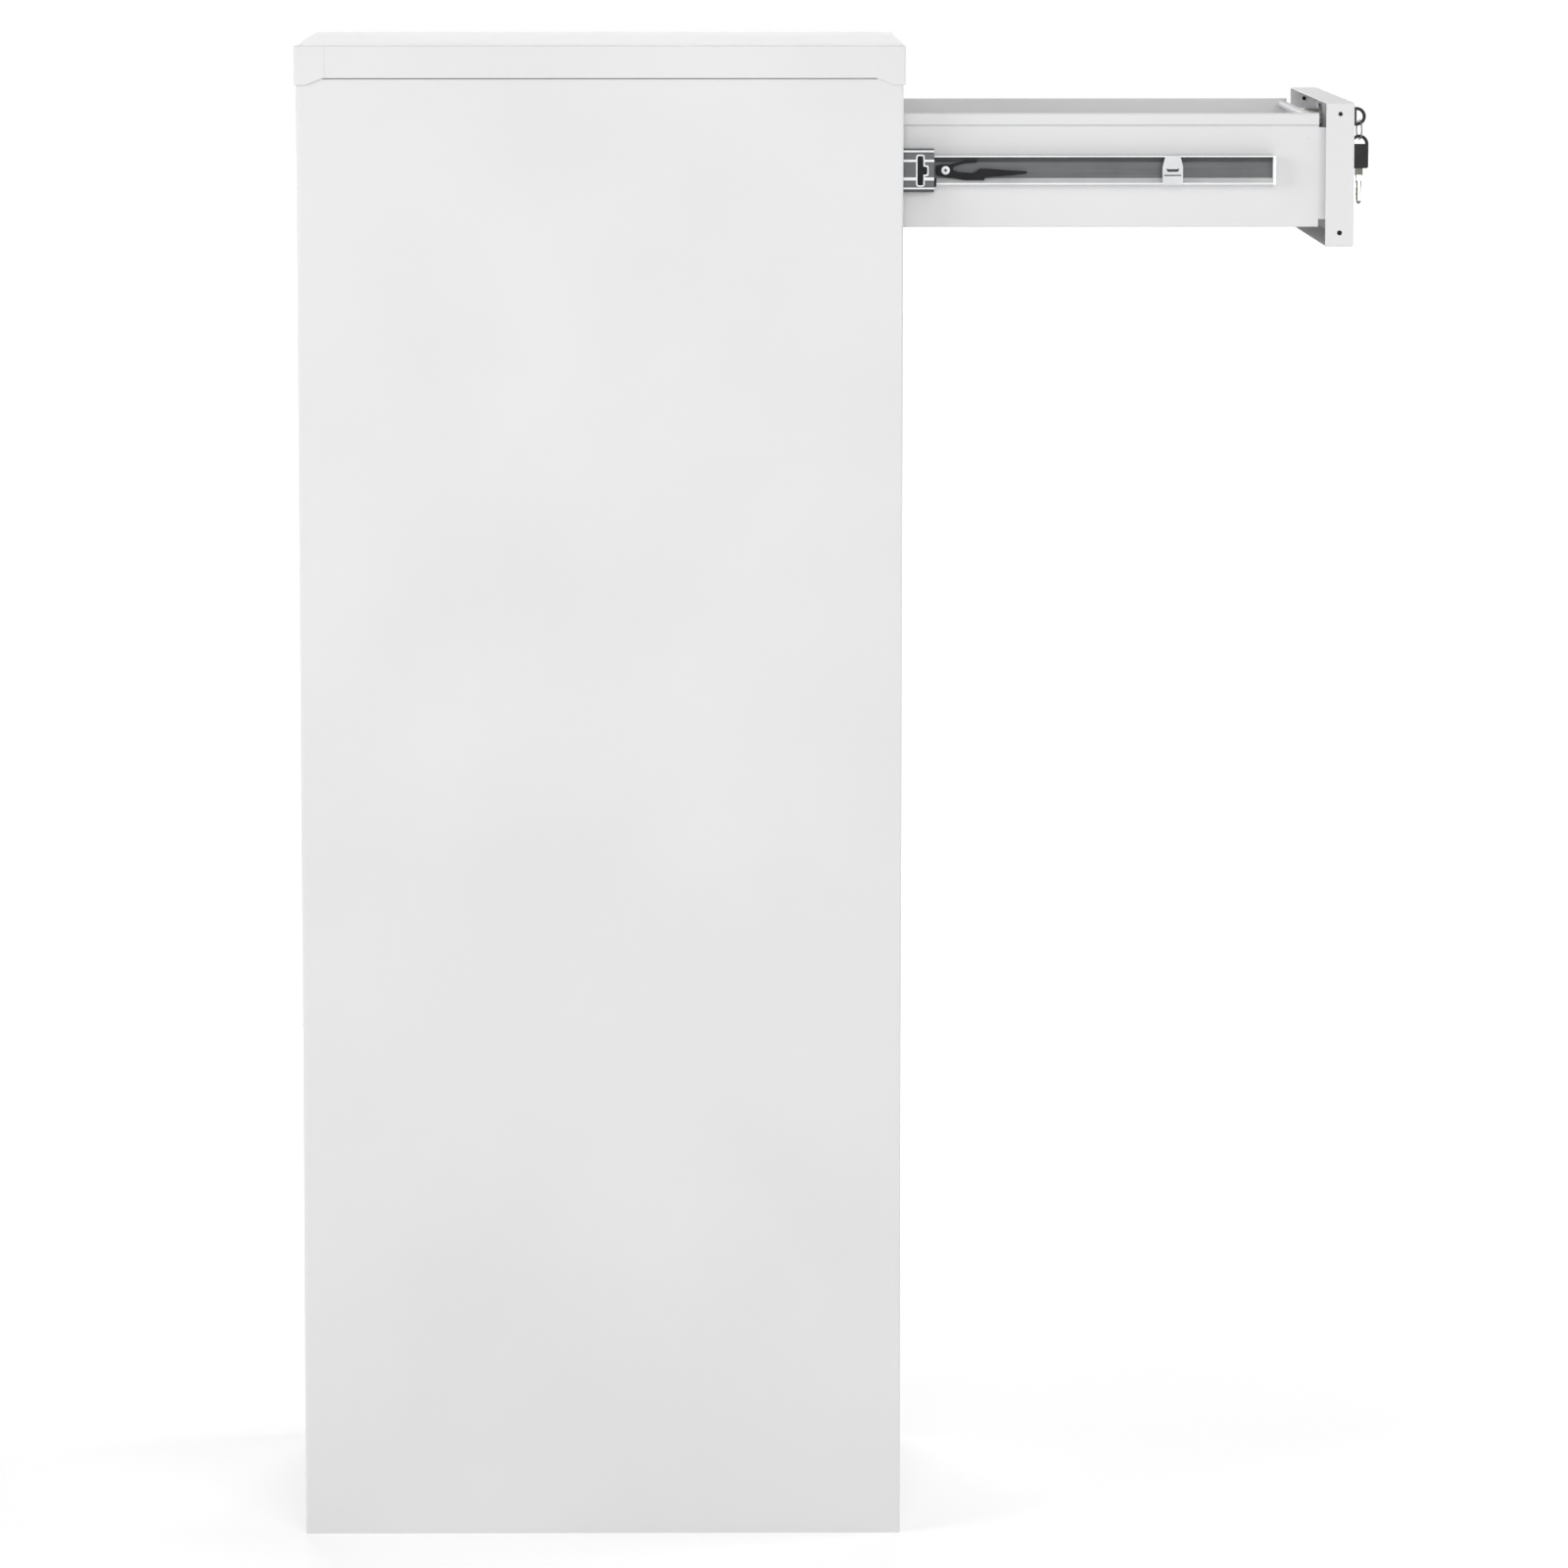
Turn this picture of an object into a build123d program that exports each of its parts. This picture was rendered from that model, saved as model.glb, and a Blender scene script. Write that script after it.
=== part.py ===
"""Five-drawer steel filing cabinet with its top drawer pulled out.

Millimetres. The front faces -Y, X runs across the width and Z is up. The origin
lies on the floor at the centre of the shell's footprint.
"""
from build123d import *
import math
import os

# Stack of fronts, from the floor up
plinth_height = 52.5
edge_gap = 2.0
file_drawer_count = 4
file_front_height = 316.0
front_gap = 4.0
top_front_height = 146.5
header_height = 57.0

# Shell
shell_width = 456.0
shell_depth = 616.0
shell_sheet = 1.0
frame_return = 20.0
frame_lip = 16.0
rear_return = 15.0
foot_flange = 17.0
bend_radius = 1.5

# Top cover
cap_sheet = 1.0
cap_fit_gap = 1.0
cap_side_flange = 33.0
cap_end_flange = 40.0
cap_corner_land = 12.0
cap_corner_slope = 17.0

# Back panel and its stiffening grooves
back_sheet = 0.8
back_fit_gap = 0.3
back_groove_depth = 4.0
back_groove_width = 30.0
back_groove_spacing = 220.0

# Rails, base and glides
header_top_return = 20.0
header_return = 28.0
header_upstand = 10.0
plinth_return = 24.0
cross_rail_height = 20.0
cross_rail_depth = 22.0
base_pan_height = 30.0
base_pan_gap = 1.0
base_channel_width = 60.0
base_channel_flange = 14.0
base_channel_end_gap = 24.0
glide_pad_diameter = 30.0
glide_pad_height = 6.0
glide_stud_diameter = 8.0
glide_stud_height = 42.0
glide_inset = 50.0
glide_collar_diameter = 14.0
glide_collar_height = 8.0
glide_hole_gap = 0.2

# Slide uprights
upright_sheet = 1.2
upright_width = 64.0
upright_lip = 12.0
slide_side_gap = 1.0
upright_front_setback = 46.0
upright_rear_setback = 58.0

# Telescopic slides: outer, middle and inner member, and the ball cages between
slide_length = 500.0
slide_front_setback = 82.0
slide_thickness = 19.0
slide_sheet = 1.2
outer_member_height = 53.0
middle_member_height = 44.4
inner_member_height = 30.0
outer_flange_reach = 12.0
middle_web_gap = 0.8
middle_flange_reach = 15.0
inner_flange_setback = 6.0
inner_slope = 4.6
member_lip_gap = 0.8
ball_row_gap = 0.3
cage_sheet = 0.8
cage_web_gap = 0.4
cage_lip_gap = 0.5
middle_travel = 154.0
inner_travel = 346.0
cage_end_margin = 2.0
t_slot_setback = 11.0
t_slot_width = 6.0
t_slot_height = 30.0
t_slot_nub = 4.0
bridge_setback = 92.0
bridge_foot_length = 21.0
bridge_foot_height = 9.0
bridge_neck_length = 16.0
bridge_slot_height = 4.0
bridge_slot_length = 12.0
bridge_sheet = 0.8
bumper_length = 3.0

# Release lever of each drawer member
lever_pivot_setback = 334.0
lever_thickness = 3.0
lever_web_gap = 3.0
lever_boss_radius = 6.5
lever_tip_reach = 83.0
lever_tip_half_height = 2.0
lever_root_half_height = 4.0
lever_tail_reach = 10.0
lever_fork_reach = 20.0
lever_upper_reach = 33.0
lever_lower_reach = 40.0
lever_arm_spread = 8.8
lever_arm_thickness = 3.0
rivet_diameter = 5.0
rivet_head_diameter = 9.0
rivet_head_height = 1.0
rivet_gap = 0.2

# Drawer boxes
tray_sheet = 0.9
tray_length = 535.0
rim_height = 12.6
rim_bulge = 4.0
rim_seam_gap = 0.4
rim_radius = 2.0
box_front_setback = 34.7
box_under_front = 19.1
box_top_drop = 11.0
end_wall_drop = 3.0
end_wall_hem = 10.0
ear_bottom_rise = 8.0
ear_top_drop = 2.0
ear_flange = 12.0
top_slide_rise = 58.4
file_slide_rise = 130.0

# Drawer fronts
front_sheet = 1.0
front_depth = 28.8
front_edge_bevel = 0.7
flange_hole_diameter = 6.0
flange_hole_setback = 14.3
flange_hole_top_drop = 11.5
flange_hole_bottom_rise = 14.0

# Recessed pulls with their label frames
pull_width = 128.0
pull_height = 84.0
pull_corner_radius = 6.0
pull_proud = 1.4
pull_wall = 2.0
cup_width = 104.0
cup_height = 34.0
cup_depth = 19.0
mouth_corner_radius = 3.0
cup_bottom_margin = 9.0
finger_lip = 8.0
cutout_gap = 0.5
label_width = 78.0
label_height = 24.0
label_recess = 1.0
label_top_margin = 7.0

# Lock, keys and ring
lock_from_side = 83.0
lock_drop = 28.5
collar_diameter = 22.0
collar_height = 2.0
barrel_diameter = 18.0
barrel_bore = 13.4
plug_gap = 0.2
plug_proud = 0.4
nut_width = 24.0
nut_height = 4.0
cam_gap = 0.5
cam_clear = 1.0
cam_thickness = 2.0
cam_width = 12.0
cam_reach = 39.5
key_thickness = 2.2
key_blade_height = 6.4
key_shoulder_height = 8.4
key_shoulder_length = 7.5
key_blade_insert = 22.0
key_fit_gap = 0.2
key_head_thickness = 4.6
key_head_width = 20.0
key_body_length = 26.0
key_shoulder_gap = 0.6
key_head_overlap = 6.0
key_loop_radius = 10.0
key_loop_wire = 3.4
ring_past_body = 3.0
ring_radius = 10.4
ring_wire = 1.6
ring_seat_gap = 0.8
spare_blade_length = 38.0

# Sides that pins, glide pads, the lock and the key ring are drawn with, and the points of a key's loop
small_round_sides = 10
pad_sides = 16
lock_sides = 16
ring_sides = 20
loop_points = 9

# Where the top drawer stands at rest
top_middle_out = 114.0
top_inner_out = 346.0

# Places worked out from the sizes above
half_width = shell_width / 2
front_y = -shell_depth / 2
rear_y = shell_depth / 2
open_half = half_width - frame_return
front_half = open_half - edge_gap
upright_face = open_half - slide_side_gap
box_half = upright_face - slide_thickness
slide_front_y = front_y + slide_front_setback
box_front_y = front_y + box_front_setback
stack_top = (plinth_height + 2 * edge_gap + file_drawer_count * (file_front_height + front_gap)
             + top_front_height)
cabinet_height = stack_top + header_height
shell_top = cabinet_height - cap_sheet
cabinet_width = shell_width + 2 * (cap_fit_gap + cap_sheet)
cabinet_depth = shell_depth + 2 * (cap_fit_gap + cap_sheet)
cap_edge_radius = cap_fit_gap + cap_sheet


def block(x_range, y_range, z_range):
    """A box between two values along each axis."""
    size = [pair[1] - pair[0] for pair in (x_range, y_range, z_range)]
    centre = [(pair[1] + pair[0]) / 2 for pair in (x_range, y_range, z_range)]
    return Pos(*centre) * Box(*size)


def mitred(points, distance):
    """The points of an open outline moved to its left by a distance, with mitred corners."""
    moved = []
    for index, point in enumerate(points):
        normals = []
        for start, end in ((index - 1, index), (index, index + 1)):
            if start >= 0 and end < len(points):
                run = (points[end][0] - points[start][0], points[end][1] - points[start][1])
                length = math.hypot(*run)
                normals.append((-run[1] / length, run[0] / length))
        first, last = normals[0], normals[-1]
        share = distance / (1 + first[0] * last[0] + first[1] * last[1])
        moved.append((point[0] + (first[0] + last[0]) * share,
                      point[1] + (first[1] + last[1]) * share))
    return moved


def folded_section(points, thickness, radius=0.0):
    """Section of a folded sheet: one face follows the points, the other lies to their left.

    A negative thickness puts the other face to the right. The radius is the inner one of
    each bend, and the outer face gets the radius plus the sheet.
    """
    other = mitred(points, thickness)
    face = make_face(Polyline(*points, *reversed(other), close=True))
    if radius <= 0:
        return face
    for size, wanted in ((radius, True), (radius + abs(thickness), False)):
        corners = []
        for index in range(1, len(points) - 1):
            before = [points[index][axis] - points[index - 1][axis] for axis in (0, 1)]
            after = [points[index + 1][axis] - points[index][axis] for axis in (0, 1)]
            turns_left = before[0] * after[1] - before[1] * after[0] > 0
            other_is_inner = turns_left == (thickness > 0)
            corner = other[index] if other_is_inner == wanted else points[index]
            corners.append(face.vertices().sort_by_distance((*corner, 0))[0])
        face = fillet(corners, size)
    return face


def along_x(face, start, end):
    """A section drawn in (y, z), carried from one x to another."""
    return extrude(Plane((start, 0, 0), x_dir=(0, 1, 0), z_dir=(1, 0, 0)) * face, end - start)


def along_y(face, front, rear):
    """A section drawn in (x, z), carried from a front y to a rear y."""
    return extrude(Plane((0, rear, 0), x_dir=(1, 0, 0), z_dir=(0, -1, 0)) * face, rear - front)


def along_z(face, bottom, top):
    """A section drawn in (x, y), carried from one height to another."""
    return extrude(Pos(0, 0, bottom) * face, top - bottom)


def pin(diameter, sides=small_round_sides):
    """Section of a pin or barrel, drawn as a polygon with its corners on the diameter."""
    return RegularPolygon(diameter / 2, sides, major_radius=True)


def hole(diameter, sides=small_round_sides):
    """Section of a hole or bore, drawn as a polygon with its flats on the diameter."""
    return RegularPolygon(diameter / 2, sides, major_radius=False)


def other_side(shape):
    """The mirror image of a left-hand piece on the right."""
    return mirror(shape, about=Plane.YZ)


def both_sides(shape):
    """A left-hand piece and its mirror image as separate solids."""
    return [shape, other_side(shape)]


def write(name, solids):
    """Write one node, as separate solids where it holds several."""
    listed = [solid for shape in solids for solid in shape.solids()]
    shape = listed[0] if len(listed) == 1 else Compound(children=listed)
    shape.label = name
    export_step(shape, "parts/" + name + ".step")


# Shell
def side_panel():
    """Left side panel: front return with its lip, rear return and foot flange."""
    outline = [(-half_width + rear_return, rear_y), (-half_width, rear_y), (-half_width, front_y),
               (-open_half, front_y), (-open_half, front_y + frame_lip)]
    wall = along_z(folded_section(outline, shell_sheet, bend_radius), 0, shell_top)
    inner = -half_width + shell_sheet
    foot = block((inner, inner + foot_flange),
                 (front_y + bend_radius + shell_sheet, rear_y - bend_radius - shell_sheet),
                 (0, shell_sheet))
    return wall + foot


def back_panel():
    """Back panel inside the rear returns, with two upright stiffening grooves."""
    half = half_width - shell_sheet - bend_radius - back_fit_gap
    face_y = rear_y - shell_sheet
    outline = [(half, face_y)]
    for side in (1, -1):
        centre = side * back_groove_spacing / 2
        outline += [(centre + back_groove_width / 2, face_y),
                    (centre + back_groove_width / 2 - back_groove_depth, face_y - back_groove_depth),
                    (centre - back_groove_width / 2 + back_groove_depth, face_y - back_groove_depth),
                    (centre - back_groove_width / 2, face_y)]
    outline.append((-half, face_y))
    return along_z(folded_section(outline, back_sheet), shell_sheet, shell_top)


def top_cap():
    """Top cover: deep flanges front and rear that wrap round the corners, shallower sides."""
    size = (cabinet_width, cabinet_depth, cap_end_flange)
    centre = Pos(0, 0, cabinet_height - cap_end_flange / 2)
    outer = Box(*size)
    outer = fillet(outer.edges().filter_by(Axis.Z), cap_edge_radius)
    outer = fillet(outer.faces().sort_by(Axis.Z)[-1].edges(), cap_edge_radius)
    inner = Pos(0, 0, -cap_sheet) * Box(size[0] - 2 * cap_sheet, size[1] - 2 * cap_sheet, size[2])
    cap = centre * (outer - inner)
    low = cabinet_height - cap_end_flange
    land = cabinet_depth / 2 - cap_corner_land
    step = cabinet_height - cap_side_flange
    relief = Polyline((-land, low - 1), (-land, low), (-land + cap_corner_slope, step),
                      (land - cap_corner_slope, step), (land, low), (land, low - 1), close=True)
    return cap - along_x(make_face(relief), -cabinet_width / 2 - 1, cabinet_width / 2 + 1)


def front_header():
    """Rail between the cover and the top drawer, with the upstand that the lock cam catches."""
    outline = [(front_y + header_top_return, shell_top), (front_y, shell_top), (front_y, stack_top),
               (front_y + header_return, stack_top),
               (front_y + header_return, stack_top + header_upstand)]
    return along_x(folded_section(outline, shell_sheet, bend_radius), -open_half, open_half)


def front_plinth():
    """Kick rail below the bottom drawer."""
    outline = [(front_y + plinth_return, plinth_height), (front_y, plinth_height), (front_y, 0),
               (front_y + plinth_return, 0)]
    return along_x(folded_section(outline, shell_sheet, bend_radius), -open_half, open_half)


def base_pan():
    """Base tray between the sides, with a collar for each glide and a channel across below it."""
    half = half_width - shell_sheet - base_pan_gap
    front = front_y + plinth_return + base_pan_gap
    rear = rear_y - shell_sheet - back_sheet - back_groove_depth - base_pan_gap
    pan = block((-half, half), (front, rear), (shell_sheet, base_pan_height))
    pan -= block((-half + shell_sheet, half - shell_sheet), (front + shell_sheet, rear - shell_sheet),
                 (0, base_pan_height - shell_sheet))
    bore = hole(glide_stud_diameter + 2 * glide_hole_gap)
    for x, y in glide_places():
        pan += along_z(Pos(x, y) * pin(glide_collar_diameter),
                       base_pan_height - glide_collar_height, base_pan_height)
        pan -= along_z(Pos(x, y) * bore, 0, base_pan_height)
    side = base_channel_width / 2
    flange = base_pan_height - 2 * shell_sheet
    outline = [(-side - base_channel_flange, flange), (-side, flange), (-side, 0), (side, 0),
               (side, flange), (side + base_channel_flange, flange)]
    end = half - base_channel_end_gap
    return pan + along_x(folded_section(outline, shell_sheet), -end, end)


def glide_places():
    """Centres of the four levelling glides."""
    x = half_width - glide_inset
    y = shell_depth / 2 - glide_inset
    return [(side * x, end * y) for side in (-1, 1) for end in (-1, 1)]


def levelling_glides():
    """Round pads on threaded studs, screwed up until they only just meet the floor."""
    glides = []
    for x, y in glide_places():
        pad = along_z(Pos(x, y) * pin(glide_pad_diameter, pad_sides), 0, glide_pad_height)
        stud = along_z(Pos(x, y) * pin(glide_stud_diameter), 0, glide_stud_height)
        glides.append(pad + stud)
    return glides


def uprights():
    """Hat-section uprights inside both sides, which carry the slides."""
    wall = -half_width + shell_sheet + upright_sheet
    pieces = []
    for start in (front_y + upright_front_setback, rear_y - upright_rear_setback - upright_width):
        end = start + upright_width
        outline = [(wall, start - upright_lip), (wall, start), (-upright_face, start),
                   (-upright_face, end), (wall, end), (wall, end + upright_lip)]
        section = folded_section(outline, upright_sheet)
        pieces += both_sides(along_z(section, base_pan_height, shell_top))
    return pieces


def cross_rails(drawers):
    """Channels between the drawers that tie the front uprights together."""
    front = front_y + upright_front_setback + upright_sheet
    rails = []
    for upper, lower in zip(drawers[:-1], drawers[1:]):
        middle = (upper["box_bottom"] + lower["box_top"]) / 2
        top = middle + cross_rail_height / 2
        outline = [(front + cross_rail_depth, top), (front, top), (front, top - cross_rail_height),
                   (front + cross_rail_depth, top - cross_rail_height)]
        section = folded_section(outline, shell_sheet)
        rails.append(along_x(section, -upright_face, upright_face))
    return rails


# Slides, drawn for the left side with their depth measured from the upright's face
def across(depth):
    """The x of a depth in the left slide."""
    return -upright_face + depth


def outer_member(height):
    """Cabinet member of a slide."""
    half = outer_member_height / 2
    lip = middle_member_height / 2 + member_lip_gap
    outline = [(across(outer_flange_reach), lip), (across(outer_flange_reach), half),
               (across(0), half), (across(0), -half), (across(outer_flange_reach), -half),
               (across(outer_flange_reach), -lip)]
    member = along_y(folded_section(outline, slide_sheet), slide_front_y, slide_front_y + slide_length)
    return Pos(0, 0, height) * member


def middle_member(height):
    """Middle member, with the T-shaped slot that holds its latch near the front end."""
    half = middle_member_height / 2
    lip = inner_member_height / 2 + member_lip_gap
    web = slide_sheet + middle_web_gap
    outline = [(across(middle_flange_reach), lip), (across(middle_flange_reach), half),
               (across(web), half), (across(web), -half), (across(middle_flange_reach), -half),
               (across(middle_flange_reach), -lip)]
    member = along_y(folded_section(outline, slide_sheet), slide_front_y, slide_front_y + slide_length)
    web_range = (across(web) - 1, across(web) + slide_sheet + 1)
    slot_front = slide_front_y + t_slot_setback
    slot = block(web_range, (slot_front, slot_front + t_slot_width),
                 (-t_slot_height / 2, t_slot_height / 2))
    nub = block(web_range, (slot_front - t_slot_nub, slot_front), (-t_slot_nub, t_slot_nub))
    return Pos(0, 0, height) * (member - slot - nub)


def inner_member(height):
    """Drawer member, with its end bumper, the bridge that hooks the drawer and the lever's rivet."""
    half = inner_member_height / 2
    bend = across(slide_thickness - inner_slope)
    outline = [(across(inner_flange_setback), -half), (bend, -half),
               (across(slide_thickness), inner_slope - half), (across(slide_thickness), half - inner_slope),
               (bend, half), (across(inner_flange_setback), half)]
    member = along_y(folded_section(outline, slide_sheet), slide_front_y, slide_front_y + slide_length)
    bridge_front = slide_front_y + bridge_setback
    middle = bridge_front + bridge_foot_length / 2
    depth = (across(inner_flange_setback) - bridge_sheet, across(inner_flange_setback))
    bridge = block(depth, (middle - bridge_neck_length / 2, middle + bridge_neck_length / 2), (-half, half))
    bridge += block(depth, (bridge_front, bridge_front + bridge_foot_length),
                    (-half, bridge_foot_height - half))
    bridge -= block((depth[0] - 1, depth[1] + 1),
                    (middle - bridge_slot_length / 2, middle + bridge_slot_length / 2),
                    (-bridge_slot_height / 2, bridge_slot_height / 2))
    web = across(slide_thickness - slide_sheet)
    head = web - lever_web_gap - lever_thickness - 2 * rivet_gap
    pivot = slide_front_y + lever_pivot_setback
    rivet = along_x(Pos(pivot, 0) * pin(rivet_diameter), head, web)
    rivet += along_x(Pos(pivot, 0) * pin(rivet_head_diameter), head - rivet_head_height, head)
    bumper = block((across(inner_flange_setback), across(slide_thickness)),
                   (slide_front_y - bumper_length, slide_front_y), (-half, half))
    return Pos(0, 0, height) * (member + bridge + rivet + bumper)


def release_lever(height):
    """Forked release lever in the drawer member's channel, on its rivet."""
    pivot = slide_front_y + lever_pivot_setback
    tongue = make_face(Polyline((pivot + lever_tail_reach, lever_root_half_height),
                                (pivot - lever_tip_reach, lever_tip_half_height),
                                (pivot - lever_tip_reach, -lever_tip_half_height),
                                (pivot + lever_tail_reach, -lever_root_half_height), close=True))
    section = tongue + Pos(pivot, 0) * pin(2 * lever_boss_radius)
    for side, reach in ((1, lever_upper_reach), (-1, lever_lower_reach)):
        outer = side * (lever_arm_spread + lever_arm_thickness / 2)
        inner = side * (lever_arm_spread - lever_arm_thickness / 2)
        root = side * lever_root_half_height / 2
        section += make_face(Polyline((pivot - reach, outer), (pivot - reach, inner),
                                      (pivot - lever_fork_reach, root), (pivot, root),
                                      (pivot, side * lever_boss_radius),
                                      (pivot - lever_boss_radius * 2, outer), close=True))
    section -= Pos(pivot, 0) * hole(rivet_diameter + 2 * rivet_gap)
    back = across(slide_thickness - slide_sheet) - lever_web_gap - rivet_gap
    return Pos(0, 0, height) * along_x(section, back - lever_thickness, back)


def ball_row(depth, centre, thickness, front, length):
    """One row of balls in its cage, drawn as an eight-sided rod of the balls' diameter."""
    section = RegularPolygon(thickness / 2, 8, major_radius=False, rotation=22.5)
    return along_y(Pos(across(depth), centre) * section, front, front + length)


def outer_cage(height):
    """The two ball rows between the cabinet member and the middle member."""
    high = outer_member_height / 2 - slide_sheet
    low = middle_member_height / 2
    thickness = high - low - 2 * ball_row_gap
    depth = outer_flange_reach / 2
    length = slide_length - middle_travel - 2 * cage_end_margin
    front = slide_front_y + middle_travel / 2 + cage_end_margin
    rows = []
    for side in (1, -1):
        rows.append(Pos(0, 0, height)
                    * ball_row(depth, side * (high + low) / 2, thickness, front, length))
    return rows


def inner_cage(height):
    """Channel-shaped ball cage between the middle member and the drawer member."""
    high = middle_member_height / 2 - slide_sheet
    low = inner_member_height / 2
    thickness = high - low - 2 * ball_row_gap
    web = slide_sheet + middle_web_gap + slide_sheet + cage_web_gap
    reach = middle_flange_reach - slide_sheet - cage_lip_gap
    length = slide_length - inner_travel - 2 * cage_end_margin
    front = slide_front_y + inner_travel / 2 + cage_end_margin
    middle = (high + low) / 2
    edge = middle + cage_sheet / 2
    row_depth = reach - thickness / 2
    outline = [(across(row_depth), edge), (across(web), edge), (across(web), -edge),
               (across(row_depth), -edge)]
    cage = along_y(folded_section(outline, cage_sheet), front, front + length)
    for side in (1, -1):
        cage += ball_row(row_depth, side * middle, thickness, front, length)
    return Pos(0, 0, height) * cage


# Drawers
def drawer_sizes():
    """Heights of every drawer, from the top one down."""
    drawers = []
    top = stack_top - edge_gap
    for number in range(file_drawer_count + 1):
        is_top = number == 0
        height = top_front_height if is_top else file_front_height
        bottom = top - height
        box_bottom = bottom + box_under_front
        rise = top_slide_rise if is_top else file_slide_rise
        drawers.append({"name": "drawer_" + str(number + 1), "top": top, "bottom": bottom,
                        "box_bottom": box_bottom, "box_top": top - box_top_drop,
                        "slide": box_bottom + rise, "has_lock": is_top})
        top = bottom - front_gap
    return drawers


def drawer_tray(drawer):
    """Drawer box: folded floor and sides with rolled rims, end walls and ears to the front."""
    low, high = drawer["box_bottom"], drawer["box_top"]
    rim = high - rim_height
    inside = box_half - tray_sheet
    left = [(-box_half - rim_seam_gap, rim), (-box_half - rim_bulge, rim),
            (-box_half - rim_bulge, high), (-inside, high), (-inside, low + tray_sheet)]
    outline = left + [(-x, z) for x, z in reversed(left)]
    rear = box_front_y + tray_length
    section = folded_section(outline, -tray_sheet)
    for side in (-1, 1):
        for height in (rim, high):
            corner = (side * (box_half + rim_bulge), height, 0)
            section = fillet(section.vertices().sort_by_distance(corner)[0], rim_radius)
    tray = along_y(section, box_front_y, rear)
    wall_top = high - end_wall_drop
    for wall, hem in (((box_front_y, box_front_y + tray_sheet), (box_front_y, box_front_y + end_wall_hem)),
                      ((rear - tray_sheet, rear), (rear - end_wall_hem, rear))):
        tray += block((-inside, inside), wall, (low + tray_sheet / 2, wall_top))
        tray += block((-inside, inside), hem, (wall_top - tray_sheet, wall_top))
    skin = front_y + front_sheet
    ear_range = (low + ear_bottom_rise, rim - ear_top_drop)
    ear = block((-box_half, -inside), (skin, box_front_y + tray_sheet), ear_range)
    ear += block((-inside, -inside + ear_flange), (skin, skin + tray_sheet), ear_range)
    for side in both_sides(ear):
        tray += side
    return tray


def pull_bottom(drawer):
    """Height of the lower edge of a pull, which sits at the middle of its front."""
    return (drawer["top"] + drawer["bottom"]) / 2 - pull_height / 2


def cup_centre(drawer):
    """Height of the middle of the finger cup."""
    return pull_bottom(drawer) + cup_bottom_margin + cup_height / 2


def lock_place(drawer):
    """The lock's x and z, right of the middle."""
    return half_width - lock_from_side, drawer["top"] - lock_drop


def drawer_front(drawer):
    """Drawer front: a skin with flanges all round, cut for its pull and for the lock."""
    low, high = drawer["bottom"], drawer["top"]
    outer = block((-front_half, front_half), (front_y, front_y + front_depth), (low, high))
    outer = chamfer(outer.faces().sort_by(Axis.Y)[0].edges(), front_edge_bevel)
    inner = block((-front_half + front_sheet, front_half - front_sheet),
                  (front_y + front_sheet, front_y + front_depth + 1),
                  (low + front_sheet, high - front_sheet))
    pan = outer - inner
    hole_y = front_y + flange_hole_setback
    for z in (high - flange_hole_top_drop, low + flange_hole_bottom_rise):
        pan -= along_x(Pos(hole_y, z) * hole(flange_hole_diameter), -front_half - 1, front_half + 1)
    cutout = Rectangle(cup_width + 2 * (pull_wall + cutout_gap), cup_height + 2 * (pull_wall + cutout_gap))
    pan -= along_y(Pos(0, cup_centre(drawer)) * cutout, front_y - 1, front_y + front_sheet + 1)
    if drawer["has_lock"]:
        x, z = lock_place(drawer)
        pan -= along_y(Pos(x, z) * pin(barrel_diameter, lock_sides), front_y - 1, front_y + front_sheet + 1)
    return pan


def drawer_pull(drawer):
    """Recessed pull: bezel with a finger lip over its cup, and the label frame above."""
    low = pull_bottom(drawer)
    bezel_front = front_y - pull_proud
    bezel = along_y(Pos(0, low + pull_height / 2)
                    * RectangleRounded(pull_width, pull_height, pull_corner_radius),
                    bezel_front, front_y)
    centre = cup_centre(drawer)
    cup = along_y(Pos(0, centre) * Rectangle(cup_width + 2 * pull_wall, cup_height + 2 * pull_wall),
                  front_y, front_y + cup_depth)
    hollow = along_y(Pos(0, centre) * Rectangle(cup_width, cup_height),
                     bezel_front + pull_wall, front_y + cup_depth - pull_wall)
    mouth_height = cup_height - finger_lip
    mouth = along_y(Pos(0, centre - finger_lip / 2)
                    * RectangleRounded(cup_width, mouth_height, mouth_corner_radius),
                    bezel_front - 1, front_y + 1)
    label_centre = low + pull_height - label_top_margin - label_height / 2
    label = block((-label_width / 2, label_width / 2), (bezel_front - 1, bezel_front + label_recess),
                  (label_centre - label_height / 2, label_centre + label_height / 2))
    return bezel + cup - hollow - mouth - label


# Lock and keys, with places measured from the lock's axis on the closed drawer
def key_head_outline():
    """A key's head from its shoulder upwards: a square body with an open loop above it."""
    arcs = []
    for radius in (key_loop_radius, key_loop_radius - key_loop_wire):
        angles = [math.pi * index / (loop_points - 1) for index in range(loop_points)]
        arcs.append([(radius * math.cos(angle), key_body_length + radius * math.sin(angle))
                     for angle in angles])
    body = Pos(0, key_body_length / 2) * Rectangle(key_head_width, key_body_length)
    return body + make_face(Polyline(*arcs[0], *reversed(arcs[1]), close=True))


def lock_plug_front():
    """The y of the face of the lock's plug."""
    return front_y - collar_height - plug_proud


def key_head_start():
    """The y at which the head of the key in the lock begins."""
    return lock_plug_front() - key_shoulder_gap - key_shoulder_length


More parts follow.
